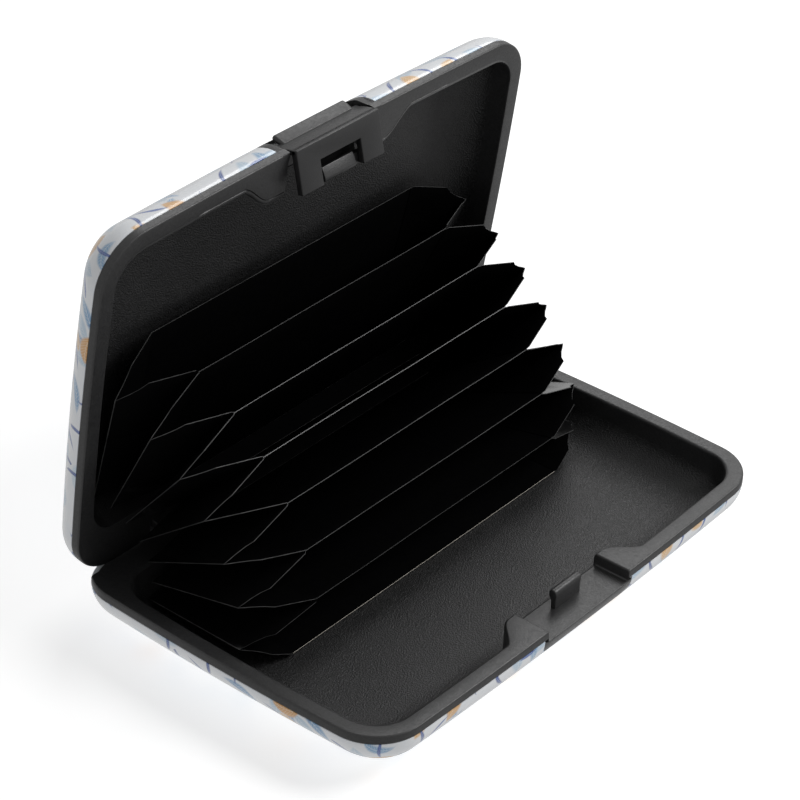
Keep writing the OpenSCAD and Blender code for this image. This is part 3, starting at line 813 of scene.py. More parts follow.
# knuckles are one rounded section swept round the pin, set out along the hinge line
def knuckleTree():
    web = groupWeb(
        "hingeKnuckles",
        "GeometryNodeTree",
        {
            "Count": "Int",
            "First": "Vector",
            "Step": "Vector",
            "Length": "Float",
            "Outer Radius": "Float",
            "Bore Radius": "Float",
            "Edge": "Float",
            "Material": "Material",
        },
        {"Geometry": "Geometry"},
        path="CurvePrimitiveCircle",
        section="CurvePrimitiveQuadrilateral",
        soft="FilletCurve",
        sweep="CurveToMesh",
        row="MeshLine",
        spread="InstanceOnPoints",
        turn="Transform",
        realize="RealizeInstances",
        finish="SetMaterial",
    )
    web["soft"].mode, web["row"].mode = "POLY", "OFFSET"
    setInputs(web["path"], {"Resolution": 40})
    setInputs(web["soft"], {"Count": 3})
    setInputs(web["turn"], {"Rotation": (0, pi / 2, 0)})
    middle = calc(web, "MULTIPLY", calc(web, "ADD", "given.Outer Radius", "given.Bore Radius"), 0.5)
    wall = calc(web, "SUBTRACT", "given.Outer Radius", "given.Bore Radius")
    chain(web, "section", "soft")
    chain(web, "path", "sweep", "turn")
    chain(web, "row", "spread", "realize", "finish", "result")
    wire(
        web,
        (middle, "path.Radius"),
        (wall, "section.Width"),
        ("given.Length", "section.Height"),
        ("given.Edge", "soft.Radius"),
        ("soft.Curve", "sweep.Profile Curve"),
        ("given.Count", "row.Count"),
        ("given.First", "row.Start Location"),
        ("given.Step", "row.Offset"),
        ("turn.Geometry", "spread.Instance"),
        ("given.Material", "finish.Material"),
    )
    return web["tree"]


def grown(name, tree, values):
    piece = newObject(name, bpy.data.meshes.new(name))
    step = piece.modifiers.new("grow", "NODES")
    step.node_group = tree
    for item in tree.interface.items_tree:
        if item.item_type == "SOCKET" and item.in_out == "INPUT":
            step[item.identifier] = values[item.name]
    return applied(piece)


hingeKnuckles = knuckleTree()


def knuckleRow(first, step, length, place=None):
    values = {
        "Count": 2,
        "First": (first * mm, hingeY * mm, hingeZ * mm),
        "Step": (step * mm, 0, 0),
        "Length": length * mm,
        "Outer Radius": knuckles["radius"] * mm,
        "Bore Radius": (knuckles["pin"] / 2 + knuckles["clear"]) * mm,
        "Edge": knuckles["edge"] * mm,
        "Material": rimPlastic,
    }
    piece = grown("knuckles", hingeKnuckles, values)
    if place:
        piece.data.transform(place)
    return piece


# a face in X and Z with its two lower corners rounded
def roundedFace(halfX, low, high, radius, steps=8):
    arcs = []
    for s, start in ((1, 270), (-1, 180)):
        turns = [radians(start + 90 * k / steps) for k in range(steps + 1)]
        arcs.append([(s * (halfX - radius) + radius * cos(a), low + radius + radius * sin(a)) for a in turns])
    right, left = arcs
    return right + [(halfX, high), (-halfX, high)] + left


facePlate = {"depth": 1.6, "edge": 0.15, "below": 0.02, "shares": (0.8, 0.6, 0.4, 0.2, 0.02)}


# a plate that lies in the skin's opening, flush with the pillow's outer side
def frontPlate(name, halfX, low, high, radius, materials, place=None):
    edge = facePlate["edge"]
    face = roundedFace(halfX, low, high, radius)
    midZ = (low + high) / 2
    half = (high - low) / 2
    rings = []
    for inset, back in ((0, facePlate["depth"]), (0, edge), (edge * 0.3, edge * 0.3), (edge, 0)):
        ring = [(x * (halfX - inset) / halfX, midZ + (z - midZ) * (half - inset) / half) for x, z in face]
        rings.append([(x, pillowFront(x, z) + back, z) for x, z in ring])
    for share in facePlate["shares"]:
        ring = [(x * share, midZ + (z - midZ) * share) for x, z in face]
        rings.append([(x, pillowFront(x, z), z) for x, z in ring])
    return lofted(name, rings, materials, place)


def finished(piece, body, nodes, angle=32):
    smoothShade(piece.data, angle)
    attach(piece, body)
    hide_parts(*nodes)
    return piece


boss = {"halfX": 12.2, "height": 5.0, "radius": 2.5, "depth": 3.77}
catch = {
    "halfX": 3.55,
    "height": 1.5,
    "in": 3.7,
    "foot": 1.0,
    "nose": 0.55,
    "sunk": 0.5,
    "taper": 0.1,
    "edge": 0.2,
    "neck": 1.5,
    "brow": 0.95,
    "cheek": 0.85,
    "waist": 1.3,
    "heel": 0.2,
    "crownFrom": 0.1,
    "crownSteps": 9,
}


# openings in the front run up past the rim to here
aboveRim = halfHeight + 2


# an opening from outside the front to the boss's depth
def frontOpening(piece, face, materials=(), place=None):
    inner = -halfWidth - case["bowSide"] + boss["depth"]
    return cutBy(piece, prism("tool", face, "y", -outside["y"], inner, materials, place))


# a bar with a rounded head that leans over towards the tray; neck to waist are shares of its height
def catchBar():
    foot = -(halfWidth - catch["in"])
    top = halfHeight + catch["height"]
    h, t, n = catch["height"], catch["foot"], catch["nose"]
    front, back = foot + catch["taper"], foot + t
    low = halfHeight - halves["base"]["drop"] - catch["sunk"]
    crown = (t + n) / 2
    section = [(front, low), (back, low), (back + n * catch["heel"], top - h * catch["neck"])]
    section.append((back + n, top - h * catch["brow"]))
    for a in np.linspace(catch["crownFrom"], pi - catch["crownFrom"], catch["crownSteps"]):
        section.append((foot + crown + crown * cos(a), top - crown + crown * sin(a)))
    section += [(foot, top - h * catch["cheek"]), (front, top - h * catch["waist"])]
    bar = prism("catchBar", section, "x", -catch["halfX"], catch["halfX"], [rimPlastic])
    return bevelled(bar, catch["edge"], segments=3, angle=50)


def buildBaseFrame():
    rings, slots = frameRings("base")
    body = swingRoom(lofted("baseFrame", rings, [rimPlastic, trayPlastic], None, slots))
    knuckleRoom(body, lidSpots, lidKnuckle)
    apart = knuckles["group"] - baseKnuckle
    rows = [knuckleRow(s * knuckleX - apart / 2, apart, baseKnuckle) for s in (-1, 1)]
    top = halfHeight - halves["base"]["drop"] - facePlate["below"]
    # the boss's front plate takes the paler plastic: painted light on its face
    plate = frontPlate("bossPlate", boss["halfX"], halfHeight - boss["height"], top, boss["radius"], [paintedHighlightPlastic])
    piece = joined("baseFrame", [body, *rows, plate, catchBar()])
    return finished(piece, "base", ["base_frame"])


latch = {
    "halfX": 10.4,
    "plateLength": 8.07,
    "plate": 1.3,
    "wallHeight": 5.54,
    "wallFoot": 0.3,
    "wall": 1.0,
    "corner": 2.8,
    "notchX": 5.1,
    "notchAt": 3.45,
    "tongueX": 3.95,
    "tongueAt": 5.52,
    "tongueBack": 1.23,
    "nose": 0.55,
    "catchRoom": 0.7,
    "webIn": 1.2,
    "web": 0.2,
    "ridgeX": 9.0,
    "ridge": 1.7,
    "ridgeThick": 1.1,
    "ridgeLean": 30,
    "ridgeFoot": 0.45,
    "ridgeTip": 0.02,
    "tilt": 19.85,
    "out": 1.54,
    "up": 0.97,
    "pin": 1.0,
    "pinIn": 1.16,
    "pinUp": 4.85,
    "lap": 0.05,
    "hookStart": 0.54,
    "hookEnd": 0.7,
    "plateEdge": 0.18,
    "wallEdge": 0.2,
    "fineEdge": 0.12,
}
archHeight = latch["wallHeight"] + latch["ridge"]
archX = latch["halfX"] + 2 * latch["wall"]
archRadius = latch["corner"] * 1.5


def buildLidFrame():
    rings, slots = frameRings("lid")
    # slot 2, the paler plastic, paints a highlight along the ledge
    body = lofted("lidFrame", rings, [rimPlastic, trayPlastic, paintedHighlightPlastic], lidPlace, slots)
    window = roundedFace(halves["lid"]["recess"], halfHeight - archHeight, aboveRim, latch["corner"])
    frontOpening(body, window, place=lidPlace)
    knuckleRoom(body, baseSpots, baseKnuckle, openTurn)
    row = knuckleRow(-knuckleX, 2 * knuckleX, lidKnuckle, inMetres(openTurn))
    low, high = halfHeight - archHeight - latch["wall"], halfHeight - facePlate["below"]
    arch = frontPlate("archPlate", archX, low, high, archRadius, [rimPlastic], lidPlace)
    frontOpening(arch, window, [rimPlastic], lidPlace)
    piece = joined("lidFrame", [body, row, arch])
    return finished(piece, "lid", ["lid_frame"])


# ---- skins
# a point straight above the last one moves away from the middle, by these shares of where it lies
outward = {"below": 1e-4, "x": 0.4, "y": 0.8}
# mm of skin to the unit of the printed map
mapUnit = 100


# where every ring lies when it is unrolled: its flat outline moved out by the length of the curve below it
def unrolled(rings):
    spots = [(x, y) for x, y, z in rings[0]]
    result = list(spots)
    for below, ring in zip(rings, rings[1:]):
        for k, (p, q) in enumerate(zip(below, ring)):
            u, v = spots[k]
            dx, dy = q[0] - p[0], q[1] - p[1]
            reach = hypot(dx, dy)
            if reach < outward["below"]:
                dx, dy = u * outward["x"], v * outward["y"]
                reach = hypot(dx, dy) or 1.0
            step = dist(p, q)
            spots[k] = (u + dx / reach * step, v + dy / reach * step)
        result += spots
    return result


def skinPiece(name, halfX, height, radius, place=None):
    columns = frontColumns(halfX, pillow["columnEdge"])
    edge, lean, thick = pillow["edge"], pillow["lean"], pillow["skin"]

    def topRing(inset, less, z):
        return [(x, y, z) for x, y in outline(inset, inset, inset, case["cornerRadius"] - less, columns)]

    rings = pillowRings(0, columns, pillow["steps"])
    rings[-1] = [(x, y, bandFoot - edge) for x, y, z in rings[-1]]
    rings += [topRing(lean, 0, bandFoot - lean), topRing(edge, edge, bandFoot), topRing(thick, thick, bandFoot)]
    rings += pillowRings(thick, columns, pillow["innerSteps"])[-2::-1]
    piece = lofted(name, rings, [leafPrint], weld=0)
    flatMap = unrolled(rings)
    layer = piece.data.uv_layers.new(name="unrolled")
    for loop in piece.data.loops:
        u, v = flatMap[loop.vertex_index]
        layer.data[loop.index].uv = (u / mapUnit + 0.5, v / mapUnit + 0.5)
    cleaned(piece.data)
    seat = pillow["seat"]
    frontOpening(piece, roundedFace(halfX + seat, halfHeight - height - seat, aboveRim, radius))
    if place:
        piece.data.transform(inMetres(place))
        piece.data.flip_normals()
    return piece


def finishSkin(piece, body, node, turn):
    knuckleRoom(piece, lidSpots, lidKnuckle, turn)
    knuckleRoom(piece, baseSpots, baseKnuckle, turn)
    finished(piece, body, [node])


baseFrame = buildBaseFrame()
print("base frame built", len(baseFrame.data.polygons))
lidFrame = buildLidFrame()
print("lid frame built", len(lidFrame.data.polygons))
baseSkin = swingRoom(skinPiece("baseSkin", boss["halfX"], boss["height"], boss["radius"]))
finishSkin(baseSkin, "base", "base_skin", None)
lidSkin = skinPiece("lidSkin", archX, archHeight + latch["wall"], archRadius, lidPlace)
finishSkin(lidSkin, "lid", "lid_skin", openTurn)
print("skins built")

# ---- latch
latchPlace = (
    openTurn
    @ Matrix.Translation((0, -(halfWidth + latch["out"]), halfHeight + case["rimGap"] - latch["up"]))
    @ Matrix.Rotation(-radians(latch["tilt"]), 4, "X")
)


# the thumb ridge is a bar with round ends, drawn as rings along X
def ridgeBar(steps=8, sides=16):
    half, thick = latch["ridgeX"], latch["ridgeThick"]
    reach = latch["ridge"] + thick
    lean = radians(latch["ridgeLean"])
    foot, up = thick * latch["ridgeFoot"], latch["wallHeight"] - thick
    rings = []
    for s, a in [(-1, a) for a in quarter(steps)] + [(1, a) for a in quarter(steps)[::-1]]:
        x = s * (half - thick / 2 + thick / 2 * cos(a))
        r = thick / 2 * max(latch["ridgeTip"], sin(a))
        ring = []
        for j in range(sides):
            b = 2 * pi * j / sides
            centre = thick / 2 if sin(b) < 0 else reach - thick / 2
            y, z = r * cos(b), centre + r * sin(b)
            ring.append((x, foot + y * cos(lean) - z * sin(lean), up + y * sin(lean) + z * cos(lean)))
        rings.append(ring)
    return lofted("ridge", rings, [latchPlastic], latchPlace)


def buildLatch():
    def part(section, axis, low, high, width=0, segments=2, material=latchPlastic):
        piece = prism("part", section, axis, low, high, [material], latchPlace)
        return bevelled(piece, width, segments) if width else piece

    x, nx, end, notch = latch["halfX"], latch["notchX"], latch["plateLength"], latch["notchAt"]
    plate = [(-x, 0), (x, 0), (x, end), (nx, end), (nx, notch), (-nx, notch), (-nx, end), (-x, end)]
    r, h, foot = latch["corner"], latch["wallHeight"], latch["wallFoot"]
    wall = [(-x, foot), (x, foot)]
    for s, turns in ((1, range(0, 91, 9)), (-1, range(90, 181, 9))):
        for a in turns:
            wall.append((s * (x - r) + r * cos(radians(a)), h - r + r * sin(radians(a))))
    parts = [
        part(plate, "z", 0, latch["plate"], latch["plateEdge"], 3),
        part(wall, "y", 0, latch["wall"], latch["wallEdge"], 3),
        ridgeBar(),
    ]
    # two barrels round the pin leave room for the spring between them
    barrel = circle(latch["pinIn"], latch["pinUp"], latch["pinIn"] - latch["lap"], 32)
    fine = latch["fineEdge"]
    parts += [part(barrel, "x", a, b, fine) for a, b in ((-x, -x / 3), (x / 3, x))]
    tongue, at, nose = latch["tongueBack"], latch["tongueAt"], latch["nose"]
    back = tongue + latch["plate"]
    hook = [(at, tongue), (end - nose, tongue * latch["hookStart"]), (end, tongue * latch["hookEnd"])]
    hook += [(end, back), (at + nose, back), (at, tongue + nose)]
    parts.append(part(hook, "x", -latch["tongueX"], latch["tongueX"], fine, 3))
    barX, low = nx + latch["wall"] * 1.5, latch["plate"] - latch["lap"]
    bar = [(at + nose, low), (end, low), (end, back), (at + nose, back)]
    parts.append(part(bar, "x", -barX, barX, fine))
    # a lip of the bar closes the hollow behind the notch and leaves room for the base's catch; it is near-black,
    # painted shade for the hollow
    start, roof, thin = notch - latch["webIn"], back + latch["catchRoom"], latch["web"]
    web = [(start, roof), (end - thin, roof), (end - thin, back - thin)]
    web += [(end, back - thin), (end, roof + thin), (start, roof + thin)]
    parts.append(part(web, "x", -barX, barX, material=paintedShadePlastic))
    return finished(joined("latchBody", parts), "latch", ["latch"])


buildLatch()
print("latch built")

# ---- accordion
fan = {
    "leaves": 8,
    "film": 0.3,
    "sheet": 0.12,
    "off": 0.003,
    "wave": 0.25,
    "gusset": 13.7,
    "baseMore": 4.1,
    "lidMore": 1.4,
    "rootIn": 7.3,
    "reach": 34.0,
    "reachMore": 1.75,
    "shortest": 4.7,
    "lidReach": 39.5,
    "lidDepth": 5.97,
    "lowDepth": 5.5,
    "angle": 2.85,
    "tipEnd": 7.2,
    "tipRoot": 2.3,
    "tipIn": 4.3,
    "bevel": 4.9,
    "bevelIn": 0.8,
    "tape": 0.2,
    "under": 0.12,
}
lastLeaf = fan["leaves"]
pleats = lastLeaf - 1
tipX = halfLength - fan["tipEnd"]
tipRootX = tipX - fan["tipRoot"]
bevelX = tipX - fan["bevel"]
leafX = tipX - fan["gusset"]
floorDepth = tray["depth"] + case["rimGap"] / 2
lowRoot = floorDepth - fan["tape"] - fan["film"] / 2


# points of the accordion are (y, z) from the hinge; leaf 1 lies in the lid, the last one in the base
def fanTurn(i):
    return radians(case["openAngle"]) * (lastLeaf - i) / pleats


def turned(p, angle):
    c, s = cos(angle), sin(angle)
    return np.array([p[0] * c + p[1] * s, -p[0] * s + p[1] * c])


def leafReach(i):
    return fan["reach"] + fan["reachMore"] * ((i - fan["shortest"]) / (pleats - fan["shortest"])) ** 2


def closedEdge(i):
    if i == 1:
        return (-sqrt(fan["lidReach"] ** 2 - fan["lidDepth"] ** 2), fan["lidDepth"])
    if i == lastLeaf:
        return (-fan["reach"], -lowRoot)
    a = -asin(fan["lowDepth"] / (fan["reach"] + fan["reachMore"])) + radians(fan["angle"]) * (pleats - i)
    return (-leafReach(i) * cos(a), leafReach(i) * sin(a))


def root(i):
    return turned((-fan["rootIn"], lowRoot * (1 - 2 * (i - 1) / pleats)), fanTurn(i))


def edge(i):
    return turned(closedEdge(i), fanTurn(i))


def halfLeaf(i):
    return leafX + {1: fan["lidMore"], lastLeaf: fan["baseMore"]}.get(i, 0)


def along(i):
    d = edge(i) - root(i)
    return d / np.linalg.norm(d)


def down(i):
    d = along(i)
    return np.array([-d[1], d[0]])


def space(x, p):
    return Vector((x, hingeY + p[0], hingeZ + p[1]))


def leafBody(i):
    return {1: "lid", lastLeaf: "base"}.get(i, f"leaf_{i}")


sheetGrid = {"across": 65, "deep": 27, "waveScale": 45.0, "calmPower": 6.0}


# a leaf of film: a fine grid that waves a little, given its thickness and pale cut edges, a painted highlight
def leafTree():
    web = groupWeb(
        "filmLeaf",
        "GeometryNodeTree",
        {
            "Width": "Float",
            "Reach": "Float",
            "Thickness": "Float",
            "Wave": "Float",
            "Seed": "Float",
            "Film": "Material",
            "Cut Edge": "Material",
        },
        {"Geometry": "Geometry"},
        sheet="MeshGrid",
        place="SetPosition",
        spot="InputPosition",
        wave="ShaderNodeTexNoise",
        lift="ShaderNodeCombineXYZ",
        parts="ShaderNodeSeparateXYZ",
        normals="InputNormal",
        facing="ShaderNodeSeparateXYZ",
        thick="ExtrudeMesh",
        flip="FlipFaces",
        join="JoinGeometry",
        merge="MergeByDistance",
        coat="SetMaterial",
        rim="SetMaterial",
        pale="FunctionNodeBooleanMath",
        realize="RealizeInstances",
    )
    web["wave"].noise_dimensions = "4D"
    web["thick"].mode = "FACES"
    web["pale"].operation = "AND"
    setInputs(web["sheet"], {"Vertices X": sheetGrid["across"], "Vertices Y": sheetGrid["deep"]})
    setInputs(web["wave"], {"Scale": sheetGrid["waveScale"], "Detail": 0.0})
    setInputs(web["thick"], {"Individual": False})
    setInputs(web["merge"], {"Distance": 1e-6})
    # the wave dies out towards the ends and the root, where the gussets hold the film
    share = calc(web, "DIVIDE", calc(web, "ABSOLUTE", "parts.0"), calc(web, "MULTIPLY", "given.Width", 0.5))
    calm = calc(web, "SUBTRACT", 1.0, calc(web, "POWER", share, sheetGrid["calmPower"]))
    fromRoot = calc(web, "ADD", calc(web, "DIVIDE", "parts.1", "given.Reach"), 0.5)
    height = calc(web, "MULTIPLY", "given.Wave", calc(web, "MULTIPLY", calm, fromRoot))
    # side faces across the front and the root take the pale edge material, a painted highlight
    frontEdge = calc(web, "LESS_THAN", calc(web, "ABSOLUTE", "facing.0"), 0.5)
    chain(web, "sheet", "place", "coat", "thick", "rim", "join", "merge", "realize", "result")
    chain(web, "coat", "flip", "join")
    chain(web, "normals", "facing")
    chain(web, "spot", "parts")
    chain(web, "spot", "wave")
    wire(
        web,
        ("given.Width", "sheet.Size X"),
        ("given.Reach", "sheet.Size Y"),
        ("given.Seed", "wave.W"),
        (calc(web, "MULTIPLY", calc(web, "SUBTRACT", "wave.Fac", 0.5), height), "lift.Z"),
        ("lift.0", "place.Offset"),
        ("given.Film", "coat.Material"),
        ("given.Thickness", "thick.Offset Scale"),
        ("thick.Side", "pale.0"),
        (frontEdge, "pale.1"),
        ("pale.0", "rim.Selection"),
        ("given.Cut Edge", "rim.Material"),
    )
    return web["tree"]


filmLeaf = leafTree()


def buildLeaf(i):
    a, b = root(i), edge(i)
    outer = i in (1, lastLeaf)
    values = {
        "Width": 2 * (halfLeaf(i) + fan["under"]) * mm,
        "Reach": float(np.linalg.norm(b - a)) * mm,
        "Thickness": fan["sheet"] * mm,
        "Wave": (0.0 if outer else fan["wave"]) * mm,
        "Seed": float(i),
        "Film": film,
        # the cut edges take a painted highlight, near-white on the last leaf
        "Cut Edge": lastEdgeHighlight if i == lastLeaf else filmEdgeHighlight,
    }
    piece = grown(f"leaf{i}", filmLeaf, values)
    d, n = along(i), down(i)
    centre = space(0, (a + b) / 2 - n * fan["sheet"] / 2) * mm
    turn = Matrix(((1, 0, 0), (0, d[0], n[0]), (0, d[1], n[1]))).to_4x4()
    piece.data.transform(Matrix.Translation(centre) @ turn)
    if turn.determinant() < 0:
        piece.data.flip_normals()
    return finished(piece, leafBody(i), [f"leaf_{i}"])


for i in range(1, lastLeaf + 1):
    buildLeaf(i)
print("leaves built")

# pleats: two gussets and the pocket's bottom between two leaves, drawn as one folded sheet
filmOff = fan["sheet"] + fan["off"]


# one side's corners, in front: leaf g, bevel, tip, bevel, leaf g + 1; at the root: leaf g + 1, tip, leaf g
def pleatCorners(g, s):
    def onLeaf(i, p):
        return p + down(i) * filmOff * (1 if i == g else -1)

    mid = (edge(g) + edge(g + 1)) / 2
    rootMid = (root(g) + root(g + 1)) / 2
    tip = mid - (mid - rootMid) / np.linalg.norm(mid - rootMid) * fan["tipIn"]

    def bevelAt(i):
        share = (bevelX - halfLeaf(i)) / (tipX - halfLeaf(i))
        a = onLeaf(i, edge(i))
        return a + (tip - a) * share + along(i) * (fan["tipIn"] * share - fan["bevelIn"])

    return [
        space(s * halfLeaf(g), onLeaf(g, edge(g))),
        space(s * bevelX, bevelAt(g)),
        space(s * tipX, tip),
        space(s * bevelX, bevelAt(g + 1)),
        space(s * halfLeaf(g + 1), onLeaf(g + 1, edge(g + 1))),
        space(s * halfLeaf(g + 1), onLeaf(g + 1, root(g + 1))),
        space(s * tipRootX, rootMid),
        space(s * halfLeaf(g), onLeaf(g, root(g))),
    ]


# a panel is ruled between its leaf side and its fold side and swells a little; its last strip is the crease, pale with
# a painted highlight
# the cut outline bulges and dips at these shares of its way, by these shares of bulge and dip
panel = {
    "rows": 14,
    "columns": 10,
    "crease": 0.1,
    "swell": 0.22,
    "rootSwell": 0.4,
    "calmPower": 6,
    "bend": 2.0,
    "folded": 0.24,
    "sideways": 0.3,
    "smooth": 28,
    "bulge": 0.4,
    "bulges": ((0.07, 1.0), (0.16, 0.9)),
    "dip": 0.5,
    "dips": ((0.22, 1.0), (0.55, 0.9), (0.8, 0.3)),
}


def ruledRows(leafRoot, leafFront, foldRoot, foldFront, swell):
    normal = (leafFront - leafRoot).cross(foldRoot - leafRoot).normalized()
    least = panel["rootSwell"]
    rows = []
    for a in range(panel["rows"] + 1):
        share = a / panel["rows"]
        p, q = leafRoot.lerp(leafFront, share), foldRoot.lerp(foldFront, share)
        stops = [b / panel["columns"] for b in range(panel["columns"])] + [1 - panel["crease"] / (q - p).length, 1.0]
        height = swell * (least + (1 - least) * share) * (1 - share ** panel["calmPower"])
        rows.append([p.lerp(q, t) + normal * (height * sin(2 * pi * t)) for t in stops])
    return rows


# the cut outline bulges where it leaves the leaf and dips between the bevelled corner and the fold's tip
def cornerOutline(leafCorner, bevel, tip, forward):
    bulges = [leafCorner.lerp(bevel, t) + forward * (panel["bulge"] * h) for t, h in panel["bulges"]]
    dips = [bevel.lerp(tip, t) - forward * (panel["dip"] * h) for t, h in panel["dips"]]
    return [*bulges, bevel, *dips]


# triangles between two lines of points that share their first and last point
def zipped(inner, outer, points):
    def shares(line):
        lengths = np.cumsum([0] + [(points[b] - points[a]).length for a, b in zip(line, line[1:])])
        return lengths / lengths[-1]

    innerAt, outerAt = shares(inner), shares(outer)
    a = b = 0
    faces = []
    while a < len(inner) - 1 or b < len(outer) - 1:
        if b == len(outer) - 1 or (a < len(inner) - 1 and innerAt[a + 1] <= outerAt[b + 1]):
            face = (inner[a], inner[a + 1], outer[b])
            a += 1
        else:
            face = (inner[a], outer[b + 1], outer[b])
            b += 1
        if len(set(face)) == 3:
            faces.append(face)
    return faces


def pleatMesh(g):
    points, faces, slots, roots = [], [], [], []
    for s in (1, -1):
        c = pleatCorners(g, s)
        for near, far, bevel, lift in ((c[7], c[0], c[1], s), (c[5], c[4], c[3], -s)):
            rows = ruledRows(near, far, c[6], c[2], panel["swell"] * lift)
            start, count = len(points), len(rows[0])
            for row in rows:
                points.extend(row)
            for a in range(len(rows) - 1):
                for b in range(count - 1):
                    k = start + a * count + b
                    faces.append((k, k + 1, k + count + 1, k + count))
                    # the crease strip takes slot 1, the pale edge film: painted highlight
                    slots.append(1 if b == count - 2 else 0)
            # the front corner spreads from the panel's last row out to the trimmed outline
            last = list(range(len(points) - count, len(points)))
            forward = (rows[-1][0] - rows[-2][0]).normalized()
            front = cornerOutline(rows[-1][0], bevel, rows[-1][-1], forward)
            outer = [last[0], *range(len(points), len(points) + len(front)), last[-1]]
            points.extend(front)
            corner = zipped(last, outer, points)
            faces.extend(corner)
            slots.extend([0] * len(corner))
            roots.append(range(start, start + count))
    # the pocket's bottom joins the panels' roots across the case
    for right, left in ((roots[0], roots[2]), (roots[1], roots[3])):
        for b in range(len(right) - 1):
            faces.append((right[b], right[b + 1], left[b + 1], left[b]))
            slots.append(0)
    return makePiece(f"pleat{g}", points, faces, [film, filmEdgeHighlight, filmOuter, filmEdgeHighlight], None, slots)


def buildPleat(g):
    piece = pleatMesh(g)
    step = piece.modifiers.new("film", "SOLIDIFY")
    step.thickness = fan["sheet"] * mm
    step.offset = 0
    step.material_offset = 2
    # the film's cut rims take the pale edge film, a painted highlight
    step.material_offset_rim = 1
    applied(piece)
    # matt towards the pocket and glossy outside; where a panel leaves its leaf its side is dark, the plain film
    # without the painted edge highlight
    inside = (space(0, (edge(g) + edge(g + 1) + root(g) + root(g + 1)) / 4)) * mm
    held = (max(halfLeaf(g), halfLeaf(g + 1)) + fan["sheet"]) * mm
    for face in piece.data.polygons:
        toMiddle = (inside - face.center).dot(face.normal)
        if face.material_index in (0, 2):
            face.material_index = 0 if toMiddle > 0 else 2
        elif abs(face.center.x) < held and abs(face.normal.x) > panel["sideways"]:
            face.material_index = 0
    smoothShade(piece.data, panel["smooth"])
    if g < pleats:
        c = pleatCorners(g, 1)
        middle = c[6].lerp(c[2], 0.5)
        middle.x = 0
        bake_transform(piece)
    else:
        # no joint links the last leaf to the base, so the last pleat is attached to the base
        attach(piece, "base")
        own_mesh(piece)
    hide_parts(f"pleat_{g}")


for g in range(1, pleats + 1):
    buildPleat(g)
print("pleats built")


# ---- spring: a coil grown along a spiral
def springTree():
    web = groupWeb(
        "coilSpring",
        "GeometryNodeTree",
        {"Turns": "Float", "Radius": "Float", "Length": "Float", "Wire Radius": "Float", "Material": "Material"},
        {"Geometry": "Geometry"},
        path="CurveSpiral",
        section="CurvePrimitiveCircle",
        sweep="CurveToMesh",
        realize="RealizeInstances",
        finish="SetMaterial",
    )
    setInputs(web["path"], {"Resolution": 24})
    setInputs(web["section"], {"Resolution": 10})
    setInputs(web["sweep"], {"Fill Caps": True})
    chain(web, "path", "sweep", "realize", "finish", "result")
    wire(
        web,
        ("given.Turns", "path.Rotations"),
        ("given.Radius", "path.Start Radius"),
        ("given.Radius", "path.End Radius"),
        ("given.Length", "path.Height"),
        ("given.Wire Radius", "section.Radius"),
        ("section.Curve", "sweep.Profile Curve"),
        ("given.Material", "finish.Material"),
    )
    return web["tree"]


spring = {"wire": 0.3, "coils": 6, "pitch": 0.42, "clear": 0.1}


def buildSpring():
    length = spring["coils"] * spring["pitch"]
    values = {
        "Turns": float(spring["coils"]),
        "Radius": ((latch["pin"] + spring["wire"]) / 2 + spring["clear"]) * mm,
        "Length": length * mm,
        "Wire Radius": spring["wire"] / 2 * mm,
        "Material": drawnSteel,
    }
    piece = grown("latchSpring", springTree(), values)
    centre = Matrix.Translation((0, 0, -length / 2 * mm))
    pinPlace = Matrix.Translation((0, latch["pinIn"] * mm, latch["pinUp"] * mm))
    onPin = pinPlace @ Matrix.Rotation(pi / 2, 4, "Y")
    piece.data.transform(inMetres(latchPlace) @ onPin @ centre)
    return finished(piece, "lid", ["latch_spring"], angle=60)


buildSpring()
print("spring built")

# nodes that keep their own shape
kept = {
    "hinge_pin_left": drawnSteel,
    "hinge_pin_right": drawnSteel,
    "latch_pin": drawnSteel,
    "tape_base": tapePaper,
    "tape_lid": tapePaper,
}
for node, material in kept.items():
    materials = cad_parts[node].data.materials
    materials.clear()
    materials.append(material)


# ---- floor, light and camera
studio = {
    "floor": 12.0,
    "floorShade": 0.8,
    "floorGlow": 0.6,
    "floorLift": 0.6,
    "world": 0.26,
    "mirrored": 0.75,
    "aim": (0, 0, 0.02),
    "key": {"at": (0.36, -0.32, 0.42), "size": 0.32, "power": 2.1},
    "fill": {"at": (0.75, 0.38, 0.85), "size": 0.7, "power": 3.3},
}
white = (1, 1, 1, 1)


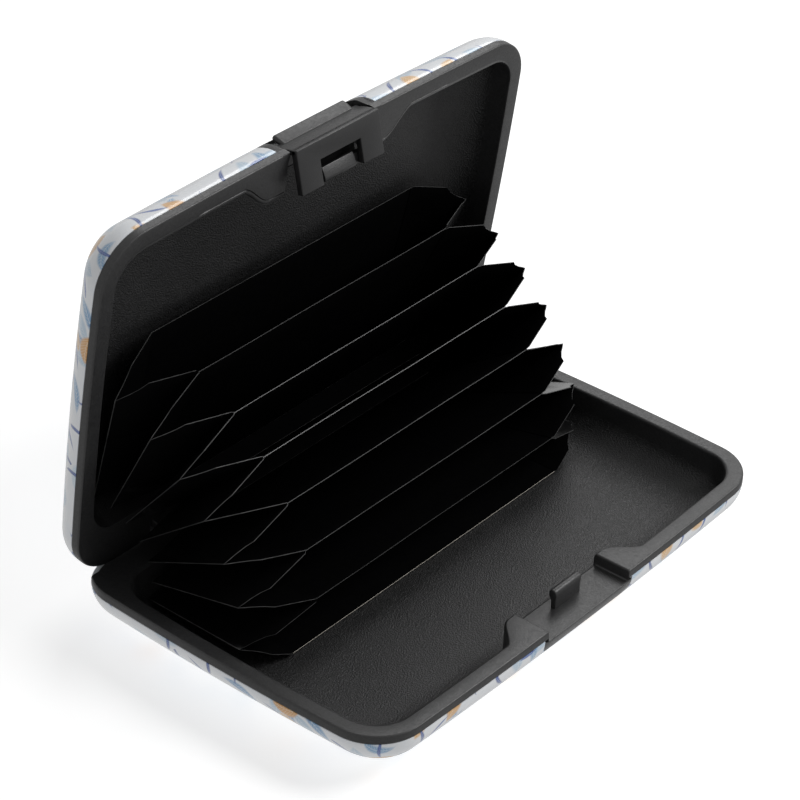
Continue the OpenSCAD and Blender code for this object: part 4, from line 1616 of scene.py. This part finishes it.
# the camera sees an even glow; everything else sees a pale floor that takes shadows
def floorMaterial():
    material = bpy.data.materials.new("paleFloor")
    material.use_nodes = True
    material.node_tree.nodes.clear()
    web = {"tree": material.node_tree}
    addNodes(
        web,
        matt="BsdfDiffuse",
        glow="Emission",
        both="AddShader",
        plain="Emission",
        pick="MixShader",
        rays="LightPath",
        result="OutputMaterial",
    )
    setInputs(web["matt"], {"Color": (*[studio["floorShade"]] * 3, 1)})
    setInputs(web["plain"], {"Color": white, "Strength": studio["floorGlow"]})
    setInputs(web["glow"], {"Color": white, "Strength": studio["floorLift"]})
    wire(
        web,
        ("matt.0", "both.0"),
        ("glow.0", "both.1"),
        ("rays.Is Camera Ray", "pick.0"),
        ("plain.0", "pick.1"),
        ("both.0", "pick.2"),
        ("pick.0", "result.0"),
    )
    return material


def buildFloor():
    half = studio["floor"] / 2
    mesh = bpy.data.meshes.new("floor")
    mesh.from_pydata([(-half, -half, 0), (half, -half, 0), (half, half, 0), (-half, half, 0)], [], [(0, 1, 2, 3)])
    mesh.materials.append(floorMaterial())
    floor = newObject("floor", mesh)


# the world is white to the camera and in glass, dim as a light, and in between as a mirror image
def buildWorld():
    world = bpy.data.worlds.new("studio")
    bpy.context.scene.world = world
    world.use_nodes = True
    web = {"tree": world.node_tree, "sky": world.node_tree.nodes["Background"]}
    addNodes(web, rays="LightPath")
    seen = calc(web, "MAXIMUM", "rays.Is Camera Ray", "rays.Is Transmission Ray")
    level = calc(web, "ADD", calc(web, "MULTIPLY", seen, 1 - studio["world"]), studio["world"])
    mirrored = calc(web, "MULTIPLY", "rays.Is Glossy Ray", studio["mirrored"])
    setInputs(web["sky"], {"Color": white})
    wire(web, (calc(web, "MAXIMUM", level, mirrored), "sky.Strength"))


def buildLamp(name):
    given = studio[name]
    lamp = bpy.data.lights.new(name, "AREA")
    lamp.shape = "DISK"
    lamp.size = given["size"]
    lamp.energy = given["power"]
    light = newObject(name, lamp)
    light.location = given["at"]
    light.rotation_euler = (Vector(studio["aim"]) - light.location).to_track_quat("-Z", "Y").to_euler()


view = {
    "place": (-0.31811, -0.24887, 0.30123),
    "turn": (56.5744, -1.677, -50.0099),
    "lens": 127.732,
    "sensor": 36.0,
}


def buildCamera():
    eye = bpy.data.cameras.new("view")
    eye.lens = view["lens"]
    eye.sensor_width = view["sensor"]
    camera = newObject("view", eye)
    camera.location = view["place"]
    camera.rotation_euler = [radians(a) for a in view["turn"]]
    bpy.context.scene.camera = camera


buildFloor()
buildWorld()
buildLamp("key")
buildLamp("fill")
buildCamera()
bpy.context.scene.view_settings.view_transform = "Standard"
print("studio and camera set")
